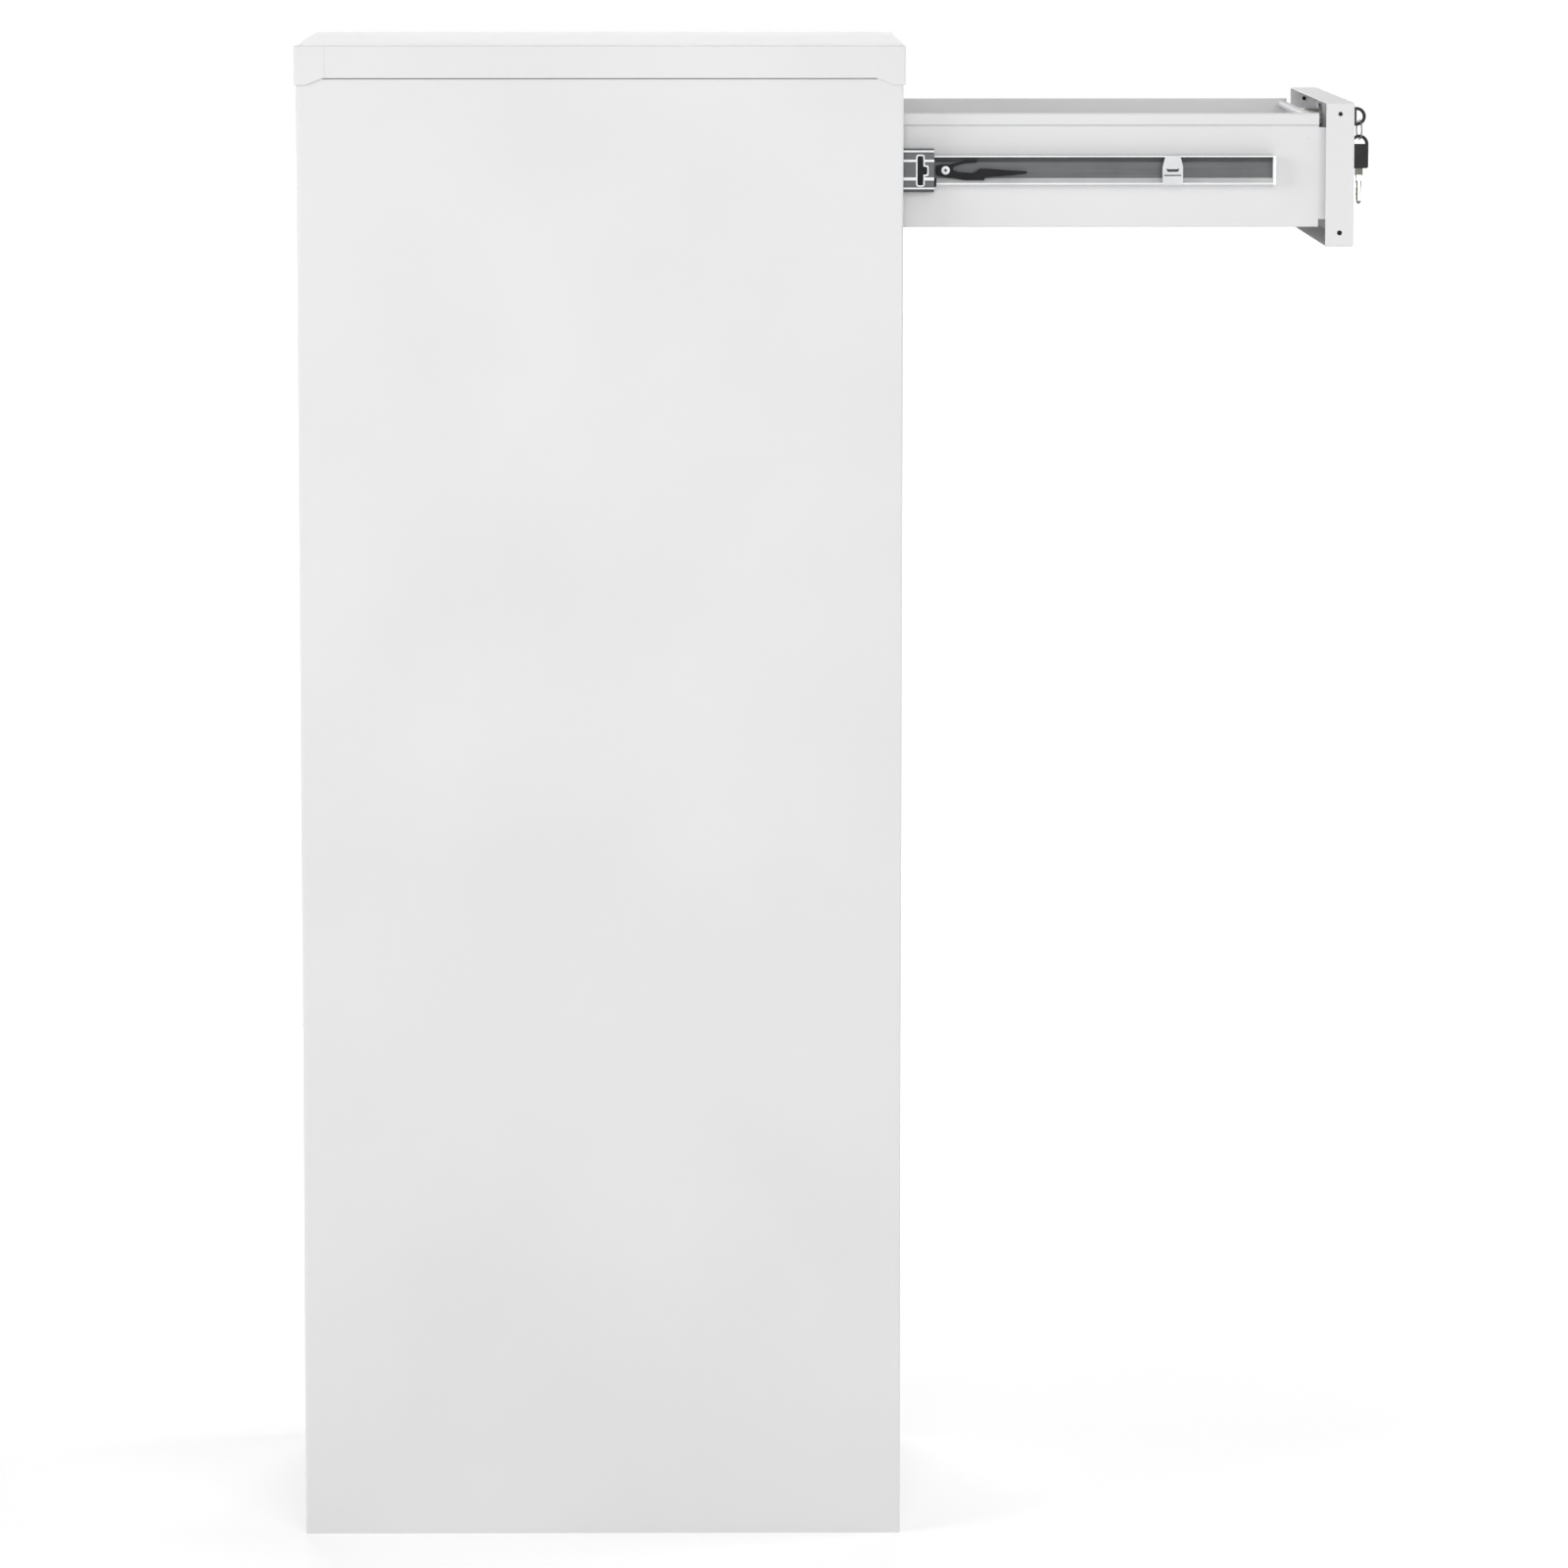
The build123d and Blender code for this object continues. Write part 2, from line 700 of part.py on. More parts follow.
def ring_centre():
    """The y of the key ring and the z of its centre, hung in the loop of the key in the lock."""
    opening = (key_loop_radius - key_loop_wire) * math.cos(math.pi / (loop_points - 1) / 2)
    seat = math.sqrt(opening ** 2 - (ring_past_body + ring_wire / 2) ** 2)
    seat -= ring_wire / 2 + ring_seat_gap
    return key_head_start() - key_body_length - ring_past_body, -seat - ring_radius


def lock_pieces(drawer):
    """The lock's fixed pieces, the pieces that turn with the key, and the spare key."""
    x, z = lock_place(drawer)
    cam_front = front_y + header_return + cam_clear
    barrel_rear = cam_front - cam_gap
    plug_front = lock_plug_front()
    collar = along_y(pin(collar_diameter, lock_sides), front_y - collar_height, front_y)
    barrel = along_y(pin(barrel_diameter, lock_sides), front_y, barrel_rear)
    bore = along_y(hole(barrel_bore, lock_sides), front_y - collar_height - 1, barrel_rear + 1)
    nut = along_y(RegularPolygon(nut_width / 2, 6, major_radius=False), front_y + front_sheet,
                  front_y + front_sheet + nut_height)
    nut -= along_y(pin(barrel_diameter, lock_sides), front_y, front_y + front_sheet + nut_height + 1)
    plug = along_y(pin(barrel_bore - 2 * plug_gap, lock_sides), plug_front, cam_front)
    insert_end = plug_front + key_blade_insert
    plug -= block((-key_thickness / 2 - key_fit_gap, key_thickness / 2 + key_fit_gap),
                  (plug_front - 1, insert_end + key_fit_gap),
                  (-key_blade_height / 2 - key_fit_gap, key_blade_height / 2 + key_fit_gap))
    cam = block((0, cam_reach), (cam_front, cam_front + cam_thickness), (-cam_width / 2, cam_width / 2))
    cam += along_y(pin(cam_width, lock_sides), cam_front, cam_front + cam_thickness)
    head_start = key_head_start()
    blade = block((-key_thickness / 2, key_thickness / 2), (head_start - key_head_overlap, insert_end),
                  (-key_blade_height / 2, key_blade_height / 2))
    blade += block((-key_thickness / 2, key_thickness / 2), (head_start, head_start + key_shoulder_length),
                   (-key_shoulder_height / 2, key_shoulder_height / 2))
    head_half = key_head_thickness / 2
    head = along_x(Pos(head_start, 0) * (Rot(0, 0, 90) * key_head_outline()), -head_half, head_half)
    ring_y, ring_z = ring_centre()
    ring_section = pin(2 * ring_radius + ring_wire, ring_sides) - pin(2 * ring_radius - ring_wire, ring_sides)
    ring = along_y(Pos(0, ring_z) * ring_section, ring_y - ring_wire / 2, ring_y + ring_wire / 2)
    loop_inside = ring_z - ring_radius + ring_wire / 2 + ring_seat_gap
    head_low = loop_inside - (key_loop_radius - key_loop_wire) - key_body_length
    spare_head = along_x(Pos(ring_y, head_low) * key_head_outline(), -head_half, head_half)
    spare_blade = block((-key_thickness / 2, key_thickness / 2),
                        (ring_y - key_blade_height / 2, ring_y + key_blade_height / 2),
                        (head_low - spare_blade_length, head_low + key_head_overlap))
    spare_blade += block((-key_thickness / 2, key_thickness / 2),
                         (ring_y - key_shoulder_height / 2, ring_y + key_shoulder_height / 2),
                         (head_low - key_shoulder_length, head_low))
    placed = {"lock_housing": collar + barrel - bore, "lock_nut": nut, "lock_plug": plug,
              "lock_cam": cam, "key_blade": blade, "key_head": head - blade, "key_ring": ring,
              "spare_key_head": spare_head - spare_blade, "spare_key_blade": spare_blade}
    return {name: Pos(x, 0, z) * shape for name, shape in placed.items()}


def build():
    """Write every node at the rest pose."""
    os.makedirs("parts", exist_ok=True)
    drawers = drawer_sizes()
    left = side_panel()
    write("side_panel_left", [left])
    write("side_panel_right", [other_side(left)])
    write("back_panel", [back_panel()])
    write("top_cap", [top_cap()])
    write("front_header", [front_header()])
    write("front_plinth", [front_plinth()])
    write("base_pan", [base_pan()])
    write("levelling_glides", levelling_glides())
    write("slide_uprights", uprights())
    write("cross_rails", cross_rails(drawers))
    write("outer_slides", [piece for drawer in drawers
                           for piece in both_sides(outer_member(drawer["slide"]))])
    for drawer in drawers:
        name, height = drawer["name"], drawer["slide"]
        is_open = drawer["has_lock"]
        middle_out = top_middle_out if is_open else 0.0
        inner_out = top_inner_out if is_open else 0.0
        out = Pos(0, -middle_out - inner_out, 0)
        at_middle = Pos(0, -middle_out, 0)
        write(name + "_middle_slides", [at_middle * s for s in both_sides(middle_member(height))])
        rows = [side for row in outer_cage(height) for side in both_sides(row)]
        write(name + "_outer_cages", [Pos(0, -middle_out / 2, 0) * row for row in rows])
        write(name + "_inner_cages", [Pos(0, -middle_out - inner_out / 2, 0) * cage
                                      for cage in both_sides(inner_cage(height))])
        write(name + "_inner_slides", [out * s for s in both_sides(inner_member(height))])
        write(name + "_levers", [out * s for s in both_sides(release_lever(height))])
        write(name + "_tray", [out * drawer_tray(drawer)])
        write(name + "_front", [out * drawer_front(drawer)])
        write(name + "_pull", [out * drawer_pull(drawer)])
        if drawer["has_lock"]:
            for piece, shape in lock_pieces(drawer).items():
                write(piece, [out * shape])


build()
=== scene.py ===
"""Looks of a five-drawer steel filing cabinet with its top drawer open.

All shapes are worked out in millimetres and put into their meshes in metres.
The front faces -Y, X runs across the width and Z is up.
"""

import logging
import math
from dataclasses import dataclass, field
from enum import Enum
from typing import Any

import bmesh
import bpy
import numpy as np
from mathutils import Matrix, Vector


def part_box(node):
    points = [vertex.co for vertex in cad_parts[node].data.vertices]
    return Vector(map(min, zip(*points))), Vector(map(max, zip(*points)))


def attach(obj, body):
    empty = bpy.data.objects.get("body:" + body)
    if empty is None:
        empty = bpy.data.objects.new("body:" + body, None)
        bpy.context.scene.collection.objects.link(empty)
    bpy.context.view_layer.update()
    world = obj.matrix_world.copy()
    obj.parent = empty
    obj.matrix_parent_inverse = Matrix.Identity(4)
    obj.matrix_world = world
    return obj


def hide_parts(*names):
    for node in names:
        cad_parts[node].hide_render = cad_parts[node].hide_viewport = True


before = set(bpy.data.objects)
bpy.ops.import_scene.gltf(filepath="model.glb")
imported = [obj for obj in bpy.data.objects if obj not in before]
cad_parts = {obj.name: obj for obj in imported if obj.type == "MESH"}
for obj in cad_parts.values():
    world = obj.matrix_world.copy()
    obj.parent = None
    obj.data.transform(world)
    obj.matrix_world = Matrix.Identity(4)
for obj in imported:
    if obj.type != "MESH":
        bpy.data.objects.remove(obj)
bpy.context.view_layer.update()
MM = 0.001
LOG = logging.getLogger("cabinet")

Faces = list[list[int]]
Shape = tuple[np.ndarray, Faces]
Pair = tuple[float, float]
Line = list[Pair]
Point = tuple[float, float, float]
Size = float | Point
Place = Pair | np.ndarray
Outline = Line | np.ndarray
Radius = float | list[float] | np.ndarray
Tree = bpy.types.NodeTree
Socket = bpy.types.NodeSocket


class Axis(Enum):
    """An axis, with the two others in the order that sections use."""

    X = (0, (1, 2))
    Y = (1, (0, 2))
    Z = (2, (0, 1))


# Shapes

def rounded(corners: Outline, radius: Radius, steps: int = 5) -> np.ndarray:
    """Round the corners of a closed outline.

    Each corner becomes an arc that touches both of its runs: it starts a
    length of radius times the tangent of half the turn before the corner, and
    its angle grows evenly through the turn.

    Args:
        corners: The corner points, n by 2.
        radius: One radius, or one for each corner.
        steps: Points on each arc.

    Returns:
        The outline's points, with repeated points left out.
    """
    points = np.asarray(corners, float)
    radii = np.broadcast_to(np.asarray(radius, float), len(points))
    before = points - np.roll(points, 1, axis=0)
    after = np.roll(points, -1, axis=0) - points
    before /= np.linalg.norm(before, axis=1, keepdims=True)
    after /= np.linalg.norm(after, axis=1, keepdims=True)
    cross = before[:, 0] * after[:, 1] - before[:, 1] * after[:, 0]
    turn = np.arctan2(cross, (before * after).sum(axis=1))
    reach = radii * np.tan(np.abs(turn) / 2)
    left = np.stack([-before[:, 1], before[:, 0]], axis=1)
    start = points - before * reach[:, None]
    centre = start + left * (np.sign(turn) * radii)[:, None]
    first = np.arctan2(*(start - centre + 1e-12 * before).T[::-1])
    angle = first[:, None] + turn[:, None] * np.linspace(0, 1, steps)
    arcs = centre[:, None] + radii[:, None, None] * np.stack([np.cos(angle), np.sin(angle)], axis=2)
    outline = arcs.reshape(-1, 2)
    moved = np.linalg.norm(outline - np.roll(outline, 1, axis=0), axis=1) > 1e-5
    return outline[moved]


def sheet_section(line: Outline, thickness: float, radius: Radius = 0.0) -> np.ndarray:
    """Section of a folded sheet.

    The line is one face, and the other is the line moved to its left by the
    thickness with mitred corners. Inside bends get the radius, and outside
    bends the radius plus the sheet.

    Args:
        line: The open line, n by 2.
        thickness: Sheet thickness, negative to put the other face to the right.
        radius: Inner bend radius, one or one for each inner corner.

    Returns:
        The closed outline.
    """
    points = np.asarray(line, float)
    runs = np.diff(points, axis=0)
    runs /= np.linalg.norm(runs, axis=1, keepdims=True)
    normals = np.stack([-runs[:, 1], runs[:, 0]], axis=1)
    first = np.vstack([normals[:1], normals])
    last = np.vstack([normals, normals[-1:]])
    share = thickness / (1 + (first * last).sum(axis=1))
    other = points + (first + last) * share[:, None]
    turn = runs[:-1, 0] * runs[1:, 1] - runs[:-1, 1] * runs[1:, 0]
    inner = np.broadcast_to(np.asarray(radius, float), len(turn))
    outer = inner + abs(thickness) * (inner > 0)
    line_is_inner = (turn > 0) != (thickness > 0)
    own = np.concatenate([[0.0], np.where(line_is_inner, inner, outer), [0.0]])
    far = np.concatenate([[0.0], np.where(line_is_inner, outer, inner), [0.0]])
    return rounded(np.vstack([points, other[::-1]]), np.concatenate([own, far[::-1]]))


def box_outline(low: Place, high: Place, radius: float, steps: int = 5) -> np.ndarray:
    """A rectangle between two corners with rounded corners, point by point anticlockwise.

    Args:
        low: Lowest corner.
        high: Highest corner.
        radius: Corner radius.
        steps: Points on each corner's arc.

    Returns:
        Four times steps points, also where the radius is tiny.
    """
    size = max(radius, 1e-3)
    corners = np.array([(low[0], low[1]), (high[0], low[1]), (high[0], high[1]), (low[0], high[1])])
    inward = np.array([(1, 1), (-1, 1), (-1, -1), (1, -1)]) * size
    angle = np.radians(np.array([180, 270, 0, 90]))[:, None] + np.linspace(0, math.pi / 2, steps)
    arcs = (corners + inward)[:, None] + size * np.stack([np.cos(angle), np.sin(angle)], axis=2)
    return arcs.reshape(-1, 2)


def centred_box(centre: Place, half: Place, radius: float, steps: int = 5) -> np.ndarray:
    """A rounded rectangle round a centre, reaching half its size each way."""
    middle, reach = np.array(centre, float), np.array(half, float)
    return box_outline(middle - reach, middle + reach, radius, steps)


def circle(count: int, radius: float = 1.0) -> np.ndarray:
    """Points round a circle: the radius times the cosine and sine of an angle that grows evenly."""
    angle = np.linspace(0, 2 * math.pi, count, endpoint=False)
    return radius * np.stack([np.cos(angle), np.sin(angle)], axis=1)


def doubled(upper: Line) -> Line:
    """An open line that runs on into its own mirror image below."""
    return upper + [(depth, -height) for depth, height in reversed(upper)]


def lifted(section: np.ndarray, axis: Axis, place: float) -> np.ndarray:
    """Put a flat outline into space at one place along an axis.

    Args:
        section: The outline, n by 2.
        axis: The axis.
        place: The place along it.

    Returns:
        The points, n by 3.
    """
    points = np.zeros((len(section), 3))
    points[:, axis.value[1]] = section
    points[:, axis.value[0]] = place
    return points


def rings(stack: list[np.ndarray], closed: bool = False) -> Shape:
    """Join rings of equally many points, each to the next, by quads.

    Args:
        stack: The rings, each n by 3.
        closed: Whether the last ring joins the first. Otherwise both ends are capped.

    Returns:
        The shell's points and faces.
    """
    points = np.stack(stack)
    count, size = points.shape[:2]
    row = np.arange(count if closed else count - 1)[:, None] * size
    following = (np.arange(1, count + 1) % count)[: len(row), None] * size
    column = np.arange(size)[None]
    after = (column + 1) % size
    quads = np.stack([row + column, row + after, following + after, following + column], axis=2)
    faces = quads.reshape(-1, 4).tolist()
    if not closed:
        faces += [list(range(size)), list(range((count - 1) * size, count * size))]
    return points.reshape(-1, 3), faces


def extruded(section: np.ndarray, axis: Axis, start: float, end: float) -> Shape:
    """Carry a closed section along an axis between two places."""
    return rings([lifted(section, axis, start), lifted(section, axis, end)])


def turned(profile: Outline, centre: Point | np.ndarray, axis: Axis, sides: int,
           closed: bool = False) -> Shape:
    """Turn a profile of radius and place along an axis into a solid of revolution.

    Args:
        profile: Radius and place pairs from one end to the other.
        centre: Where the axis and place zero lie.
        axis: The axis of revolution.
        sides: Points round the axis.
        closed: Whether the profile closes on itself, as a wire ring's does.

    Returns:
        The shell's points and faces.
    """
    around = circle(sides)
    return rings([lifted(radius * around, axis, place) + centre for radius, place in profile], closed)


def gathered(shapes: list[Shape]) -> Shape:
    """Several shells as one, with the faces of each counted on from the last.

    Args:
        shapes: The shells.

    Returns:
        All the points and faces.
    """
    starts = np.cumsum([0] + [len(points) for points, _ in shapes]).tolist()
    faces = [[index + start for index in face] for (_, shell), start in zip(shapes, starts) for face in shell]
    return np.vstack([points for points, _ in shapes]), faces


def balls(centres: np.ndarray, radius: float) -> Shape:
    """Balls at several places, each a stack of rings whose radius is the sine of its polar angle.

    Args:
        centres: The centres, n by 3.
        radius: The balls' radius.

    Returns:
        All the balls' points and faces.
    """
    polar = np.linspace(0.12, math.pi - 0.12, 6)
    profile = [(radius * math.sin(angle), radius * math.cos(angle)) for angle in polar]
    points, faces = turned(profile, (0, 0, 0), Axis.Z, 10)
    return gathered([(points + centre, faces) for centre in centres])


def settle(mesh: bpy.types.Mesh, merge: float, outward: bool) -> None:
    """Merge points that meet, and turn the faces outwards.

    Args:
        mesh: The mesh.
        merge: Distance under which points are one, zero to merge none.
        outward: Whether the faces are turned outwards.
    """
    work = bmesh.new()
    work.from_mesh(mesh)
    if merge:
        bmesh.ops.remove_doubles(work, verts=work.verts, dist=merge)
    if outward:
        bmesh.ops.recalc_face_normals(work, faces=work.faces)
    work.to_mesh(mesh)
    work.free()


def plate(outlines: list[np.ndarray], axis: Axis, low: float, high: float, bevel: float) -> Shape:
    """A flat plate with holes and softened edges, filled between its outlines.

    Args:
        outlines: The outer outline, then the holes.
        axis: The axis that the thickness lies along.
        low: Lower face's place.
        high: Upper face's place.
        bevel: Size of the softened edge.

    Returns:
        The plate's points and faces.
    """
    curve = bpy.data.curves.new("outline", "CURVE")
    curve.dimensions, curve.fill_mode = "2D", "BOTH"
    curve.extrude = (high - low) / 2 - bevel
    curve.bevel_depth, curve.bevel_resolution, curve.offset = bevel, 2, -bevel
    for outline in outlines:
        spline = curve.splines.new("POLY")
        spline.points.add(len(outline) - 1)
        spline.points.foreach_set("co", np.pad(outline, ((0, 0), (0, 2))).ravel())
        spline.use_cyclic_u = True
    holder = bpy.data.objects.new("outline", curve)
    mesh = bpy.data.meshes.new_from_object(holder)
    settle(mesh, 1e-4, False)
    flat = np.zeros(len(mesh.vertices) * 3)
    mesh.vertices.foreach_get("co", flat)
    flat = flat.reshape(-1, 3)
    faces = [list(polygon.vertices) for polygon in mesh.polygons]
    points = np.zeros_like(flat)
    points[:, axis.value[1]] = flat[:, :2]
    points[:, axis.value[0]] = flat[:, 2] + (low + high) / 2
    bpy.data.objects.remove(holder)
    bpy.data.curves.remove(curve)
    bpy.data.meshes.remove(mesh)
    return points, faces


def mirrored(shape: Shape) -> Shape:
    """The mirror image of a left-hand shape on the right."""
    return shape[0] * np.array([-1.0, 1.0, 1.0]), shape[1]


def corners(node: str) -> tuple[np.ndarray, np.ndarray]:
    """Lowest and highest corner of a CAD node, in millimetres."""
    low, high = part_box(node)
    return np.array(low) / MM, np.array(high) / MM


def linked(name: str, data: bpy.types.ID) -> bpy.types.Object:
    """A new object in the scene.

    Args:
        name: Its name.
        data: The mesh, lamp or camera that it holds.

    Returns:
        The object.
    """
    made = bpy.data.objects.new(name, data)
    bpy.context.scene.collection.objects.link(made)
    return made


# Finishes

def colour(code: str) -> tuple[float, float, float, float]:
    """Linear colour of an sRGB hex value.

    Args:
        code: The value, such as #ECECED.

    Returns:
        Red, green, blue and a full alpha.
    """
    values = np.array([int(code[place:place + 2], 16) / 255 for place in (1, 3, 5)])
    linear = np.where(values <= 0.04045, values / 12.92, ((values + 0.055) / 1.055) ** 2.4)
    return (*linear.tolist(), 1.0)


def add_node(tree: Tree, kind: str, settings: dict[str, Any] | None = None,
             values: dict[str | int, Any] | None = None,
             links: dict[str | int, Socket] | None = None) -> bpy.types.Node:
    """Add a node to a material.

    Args:
        tree: The material's node tree.
        kind: The node's Blender type.
        settings: Its own properties.
        values: Constants for its inputs.
        links: Output sockets that feed its inputs.

    Returns:
        The node.
    """
    node = tree.nodes.new(kind)
    for name, value in (settings or {}).items():
        setattr(node, name, value)
    for name, value in (values or {}).items():
        node.inputs[name].default_value = value
    for name, socket in (links or {}).items():
        tree.links.new(socket, node.inputs[name])
    return node


@dataclass(frozen=True)
class Finish:
    """What every finish has: a colour with a slow cloud in it, and a fine grain.

    The cloud runs the colour from the second shade to the first. The grain
    moves the roughness down and up, and lifts the surface. Sizes are in
    millimetres, one for all axes or one along each.
    """

    name: str
    shade: str
    roughness: float = 0.45
    metallic: float = 0.0
    second: str = ""
    gloss: float = 0.5
    alpha: float = 1.0
    cloud: Size = 30.0
    cloud_detail: float = 3.0
    grain: Size = 1.0
    grain_detail: float = 2.0
    spread: Pair | None = None
    relief: Pair = (0.02, 0.3)

    def material(self) -> bpy.types.Material:
        """The finish's material, made once.

        Returns:
            The material.
        """
        known = bpy.data.materials.get(self.name)
        if known:
            return known
        material = bpy.data.materials.new(self.name)
        material.use_nodes = True
        material.diffuse_color = colour(self.shade)
        tree = material.node_tree
        tree.nodes.clear()
        place = add_node(tree, "ShaderNodeTexCoord").outputs["Object"]
        constants = {"Base Color": colour(self.shade), "Roughness": self.roughness,
                     "Metallic": self.metallic, "Specular IOR Level": self.gloss, "Alpha": self.alpha}
        shader = add_node(tree, "ShaderNodeBsdfPrincipled", values=constants,
                          links=self.pattern(tree, place))
        add_node(tree, "ShaderNodeOutputMaterial", links={"Surface": shader.outputs["BSDF"]})
        return material

    def pattern(self, tree: Tree, place: Socket) -> dict[str, Socket]:
        """The cloud and the grain, from Object coordinates.

        Args:
            tree: The material's node tree.
            place: The coordinates.

        Returns:
            Links for the shader's inputs.
        """
        grain = self.speckle(tree, place, self.grain, self.grain_detail)
        depth, strength = self.relief
        bump = add_node(tree, "ShaderNodeBump", values={"Strength": strength, "Distance": depth * MM},
                        links={"Height": grain})
        links = {"Normal": bump.outputs["Normal"]}
        if self.second:
            cloud = self.speckle(tree, place, self.cloud, self.cloud_detail)
            ramp = add_node(tree, "ShaderNodeValToRGB", links={"Fac": cloud})
            for stop, at, shade in zip(ramp.color_ramp.elements, (0.3, 0.7), (self.second, self.shade)):
                stop.position, stop.color = at, colour(shade)
            links["Base Color"] = ramp.outputs["Color"]
        if self.spread:
            limits = {"From Min": 0.3, "From Max": 0.7, "To Min": self.roughness - self.spread[0],
                      "To Max": self.roughness + self.spread[1]}
            ranged = add_node(tree, "ShaderNodeMapRange", values=limits, links={"Value": grain})
            links["Roughness"] = ranged.outputs["Result"]
        return links

    def speckle(self, tree: Tree, place: Socket, size: Size, detail: float) -> Socket:
        """Soft noise whose patches have a given size.

        Args:
            tree: The material's node tree.
            place: The coordinates.
            size: One size, or one along each axis.
            detail: How much finer noise is laid over it.

        Returns:
            The noise, from 0 to 1.
        """
        sizes = np.broadcast_to(np.asarray(size, float), 3)
        mapping = add_node(tree, "ShaderNodeMapping", values={"Scale": (1000 / sizes).tolist()},
                           links={"Vector": place})
        noise = add_node(tree, "ShaderNodeTexNoise",
                         values={"Scale": 1.0, "Detail": detail, "Roughness": 0.5},
                         links={"Vector": mapping.outputs["Vector"]})
        return noise.outputs["Fac"]


@dataclass(frozen=True)
class PowderCoat(Finish):
    """Sprayed and baked powder enamel: even and satin, with slow waves and an orange peel.

    The peel is drawn about three times too coarse, so that it shows.
    """

    gloss: float = 0.03
    cloud: Size = 260.0
    cloud_detail: float = 2.0
    grain: Size = 3.0
    spread: Pair | None = (0.04, 0.05)
    relief: Pair = (0.03, 0.35)


@dataclass(frozen=True)
class RolledZinc(Finish):
    """Zinc-plated strip: grey metal with rolling streaks along Y, 90 mm long, and duller clouds."""

    grain: Size = (1.2, 90.0, 1.2)
    spread: Pair | None = (0.06, 0.08)


@dataclass(frozen=True)
class MouldedPlastic(Finish):
    """Injection-moulded plastic with the spark-eroded grain of its tool, drawn coarser than real."""

    second: str = "#1B1B1D"
    cloud: Size = 18.0
    grain: Size = 0.9
    spread: Pair | None = (0.05, 0.07)
    relief: Pair = (0.025, 0.4)


@dataclass(frozen=True)
class PlatedMetal(Finish):
    """Nickel or brass plate, polished before plating, with hairline scratches 12 mm long."""

    second: str = "#B9B5AA"
    cloud: Size = 9.0
    grain: Size = (0.5, 2.0, 12.0)
    spread: Pair | None = (0.05, 0.12)
    relief: Pair = (0.008, 0.3)


@dataclass(frozen=True)
class CardStock(Finish):
    """Uncoated card: matt, with fibres of 0.6 by 3 mm."""

    second: str = "#F1EFE8"
    cloud: Size = (3.0, 0.6, 0.6)
    grain: Size = (3.0, 0.6, 0.6)
    grain_detail: float = 3.0


@dataclass(frozen=True)
class ClearSheet(Finish):
    """Thin clear rigid PVC: nearly invisible, with a faint pull in waves of 25 mm."""

    alpha: float = 0.16
    grain: Size = 25.0
    grain_detail: float = 1.0
    relief: Pair = (0.1, 0.3)


# Light grey enamel: pale and satin, with changes of shade too slow to see as spots. The drawers'
# coat is a little glossier than the shell's.
BODY = PowderCoat("powder_coat_light_grey", "#ECECED", 0.55, second="#E8E8E9")
DRAWER = PowderCoat("powder_coat_drawer_grey", "#ECECED", 0.5, second="#E9E9EA")
# Zinc plate: duller on the sheet inside, bright on the members, nuts and rivets.
INSIDE = RolledZinc("galvanised_sheet", "#AEB1B3", 0.5, 0.75, "#9C9FA1", grain=(2.0, 90.0, 2.0))
ZINC = RolledZinc("bright_zinc_strip", "#C4C6C8", 0.3, 0.95, "#ACAFB1")
# The open slide's three tones: pale tabs; grey webs, darkened as a painted dark reflection; and
# near-white edges and ribs, whose brightness is a painted highlight. They mirror little, so that
# they stay apart from every side.
TAB = RolledZinc("pressed_zinc_tab", "#E0E2E3", 0.5, 0.05, "#D3D5D6")
PAINTED_DARK_ZINC = RolledZinc("zinc_painted_dark_reflection", "#606264", 0.5, 0.2, "#585A5C")
PAINTED_BRIGHT_ZINC = RolledZinc("zinc_painted_highlight", "#EEEFEF", 0.4, 0.15, "#E2E3E4")
# Hard chrome steel: sharp lights on small balls.
BALL = PlatedMetal("chrome_steel_balls", "#C8CACC", 0.12, 1.0, "#B4B6B8")
# Moulded plastics: a satin grey pull, blacks that stay black under the lamps, and a dull grey strip
# that paints the shade in the gap under the cover.
PULL = MouldedPlastic("moulded_abs_grey", "#D5D7D9", 0.38, second="#CED0D2")
BLACK = MouldedPlastic("moulded_black_nylon", "#242427", 0.5, second="#1B1B1E", gloss=0.12)
KEY_BLACK = MouldedPlastic("moulded_black_abs", "#29292A", 0.4, second="#1F1F20", gloss=0.2)
GLIDE = MouldedPlastic("glide_black_polyethylene", "#222224", 0.5, second="#19191B")
SHADOW_GREY = MouldedPlastic("painted_shadow_grey", "#77787A", 0.7, second="#6C6D6F", gloss=0.1)
# The lock's plated metals: a shiny collar, a softer plug, and cut blades that look grey and matt.
NICKEL = PlatedMetal("nickel_plated_lock", "#C9C7C2", 0.16, 1.0)
BRASS = PlatedMetal("nickel_silver_key", "#CFCEC8", 0.24, 1.0, "#BDBBB0")
MILLED = PlatedMetal("milled_nickel_silver", "#6B6963", 0.4, 0.5, "#5C5A54")
STEEL_WIRE = PlatedMetal("plated_wire", "#8C8C8E", 0.3, 0.9, "#7A7A7C")
# The label: a warm white matt card, and a window that shows only by its faint gloss.
CARD = CardStock("white_card", "#F7F6F1", 0.8)
WINDOW = ClearSheet("clear_pvc_window", "#FFFFFF", 0.06)


# Pieces

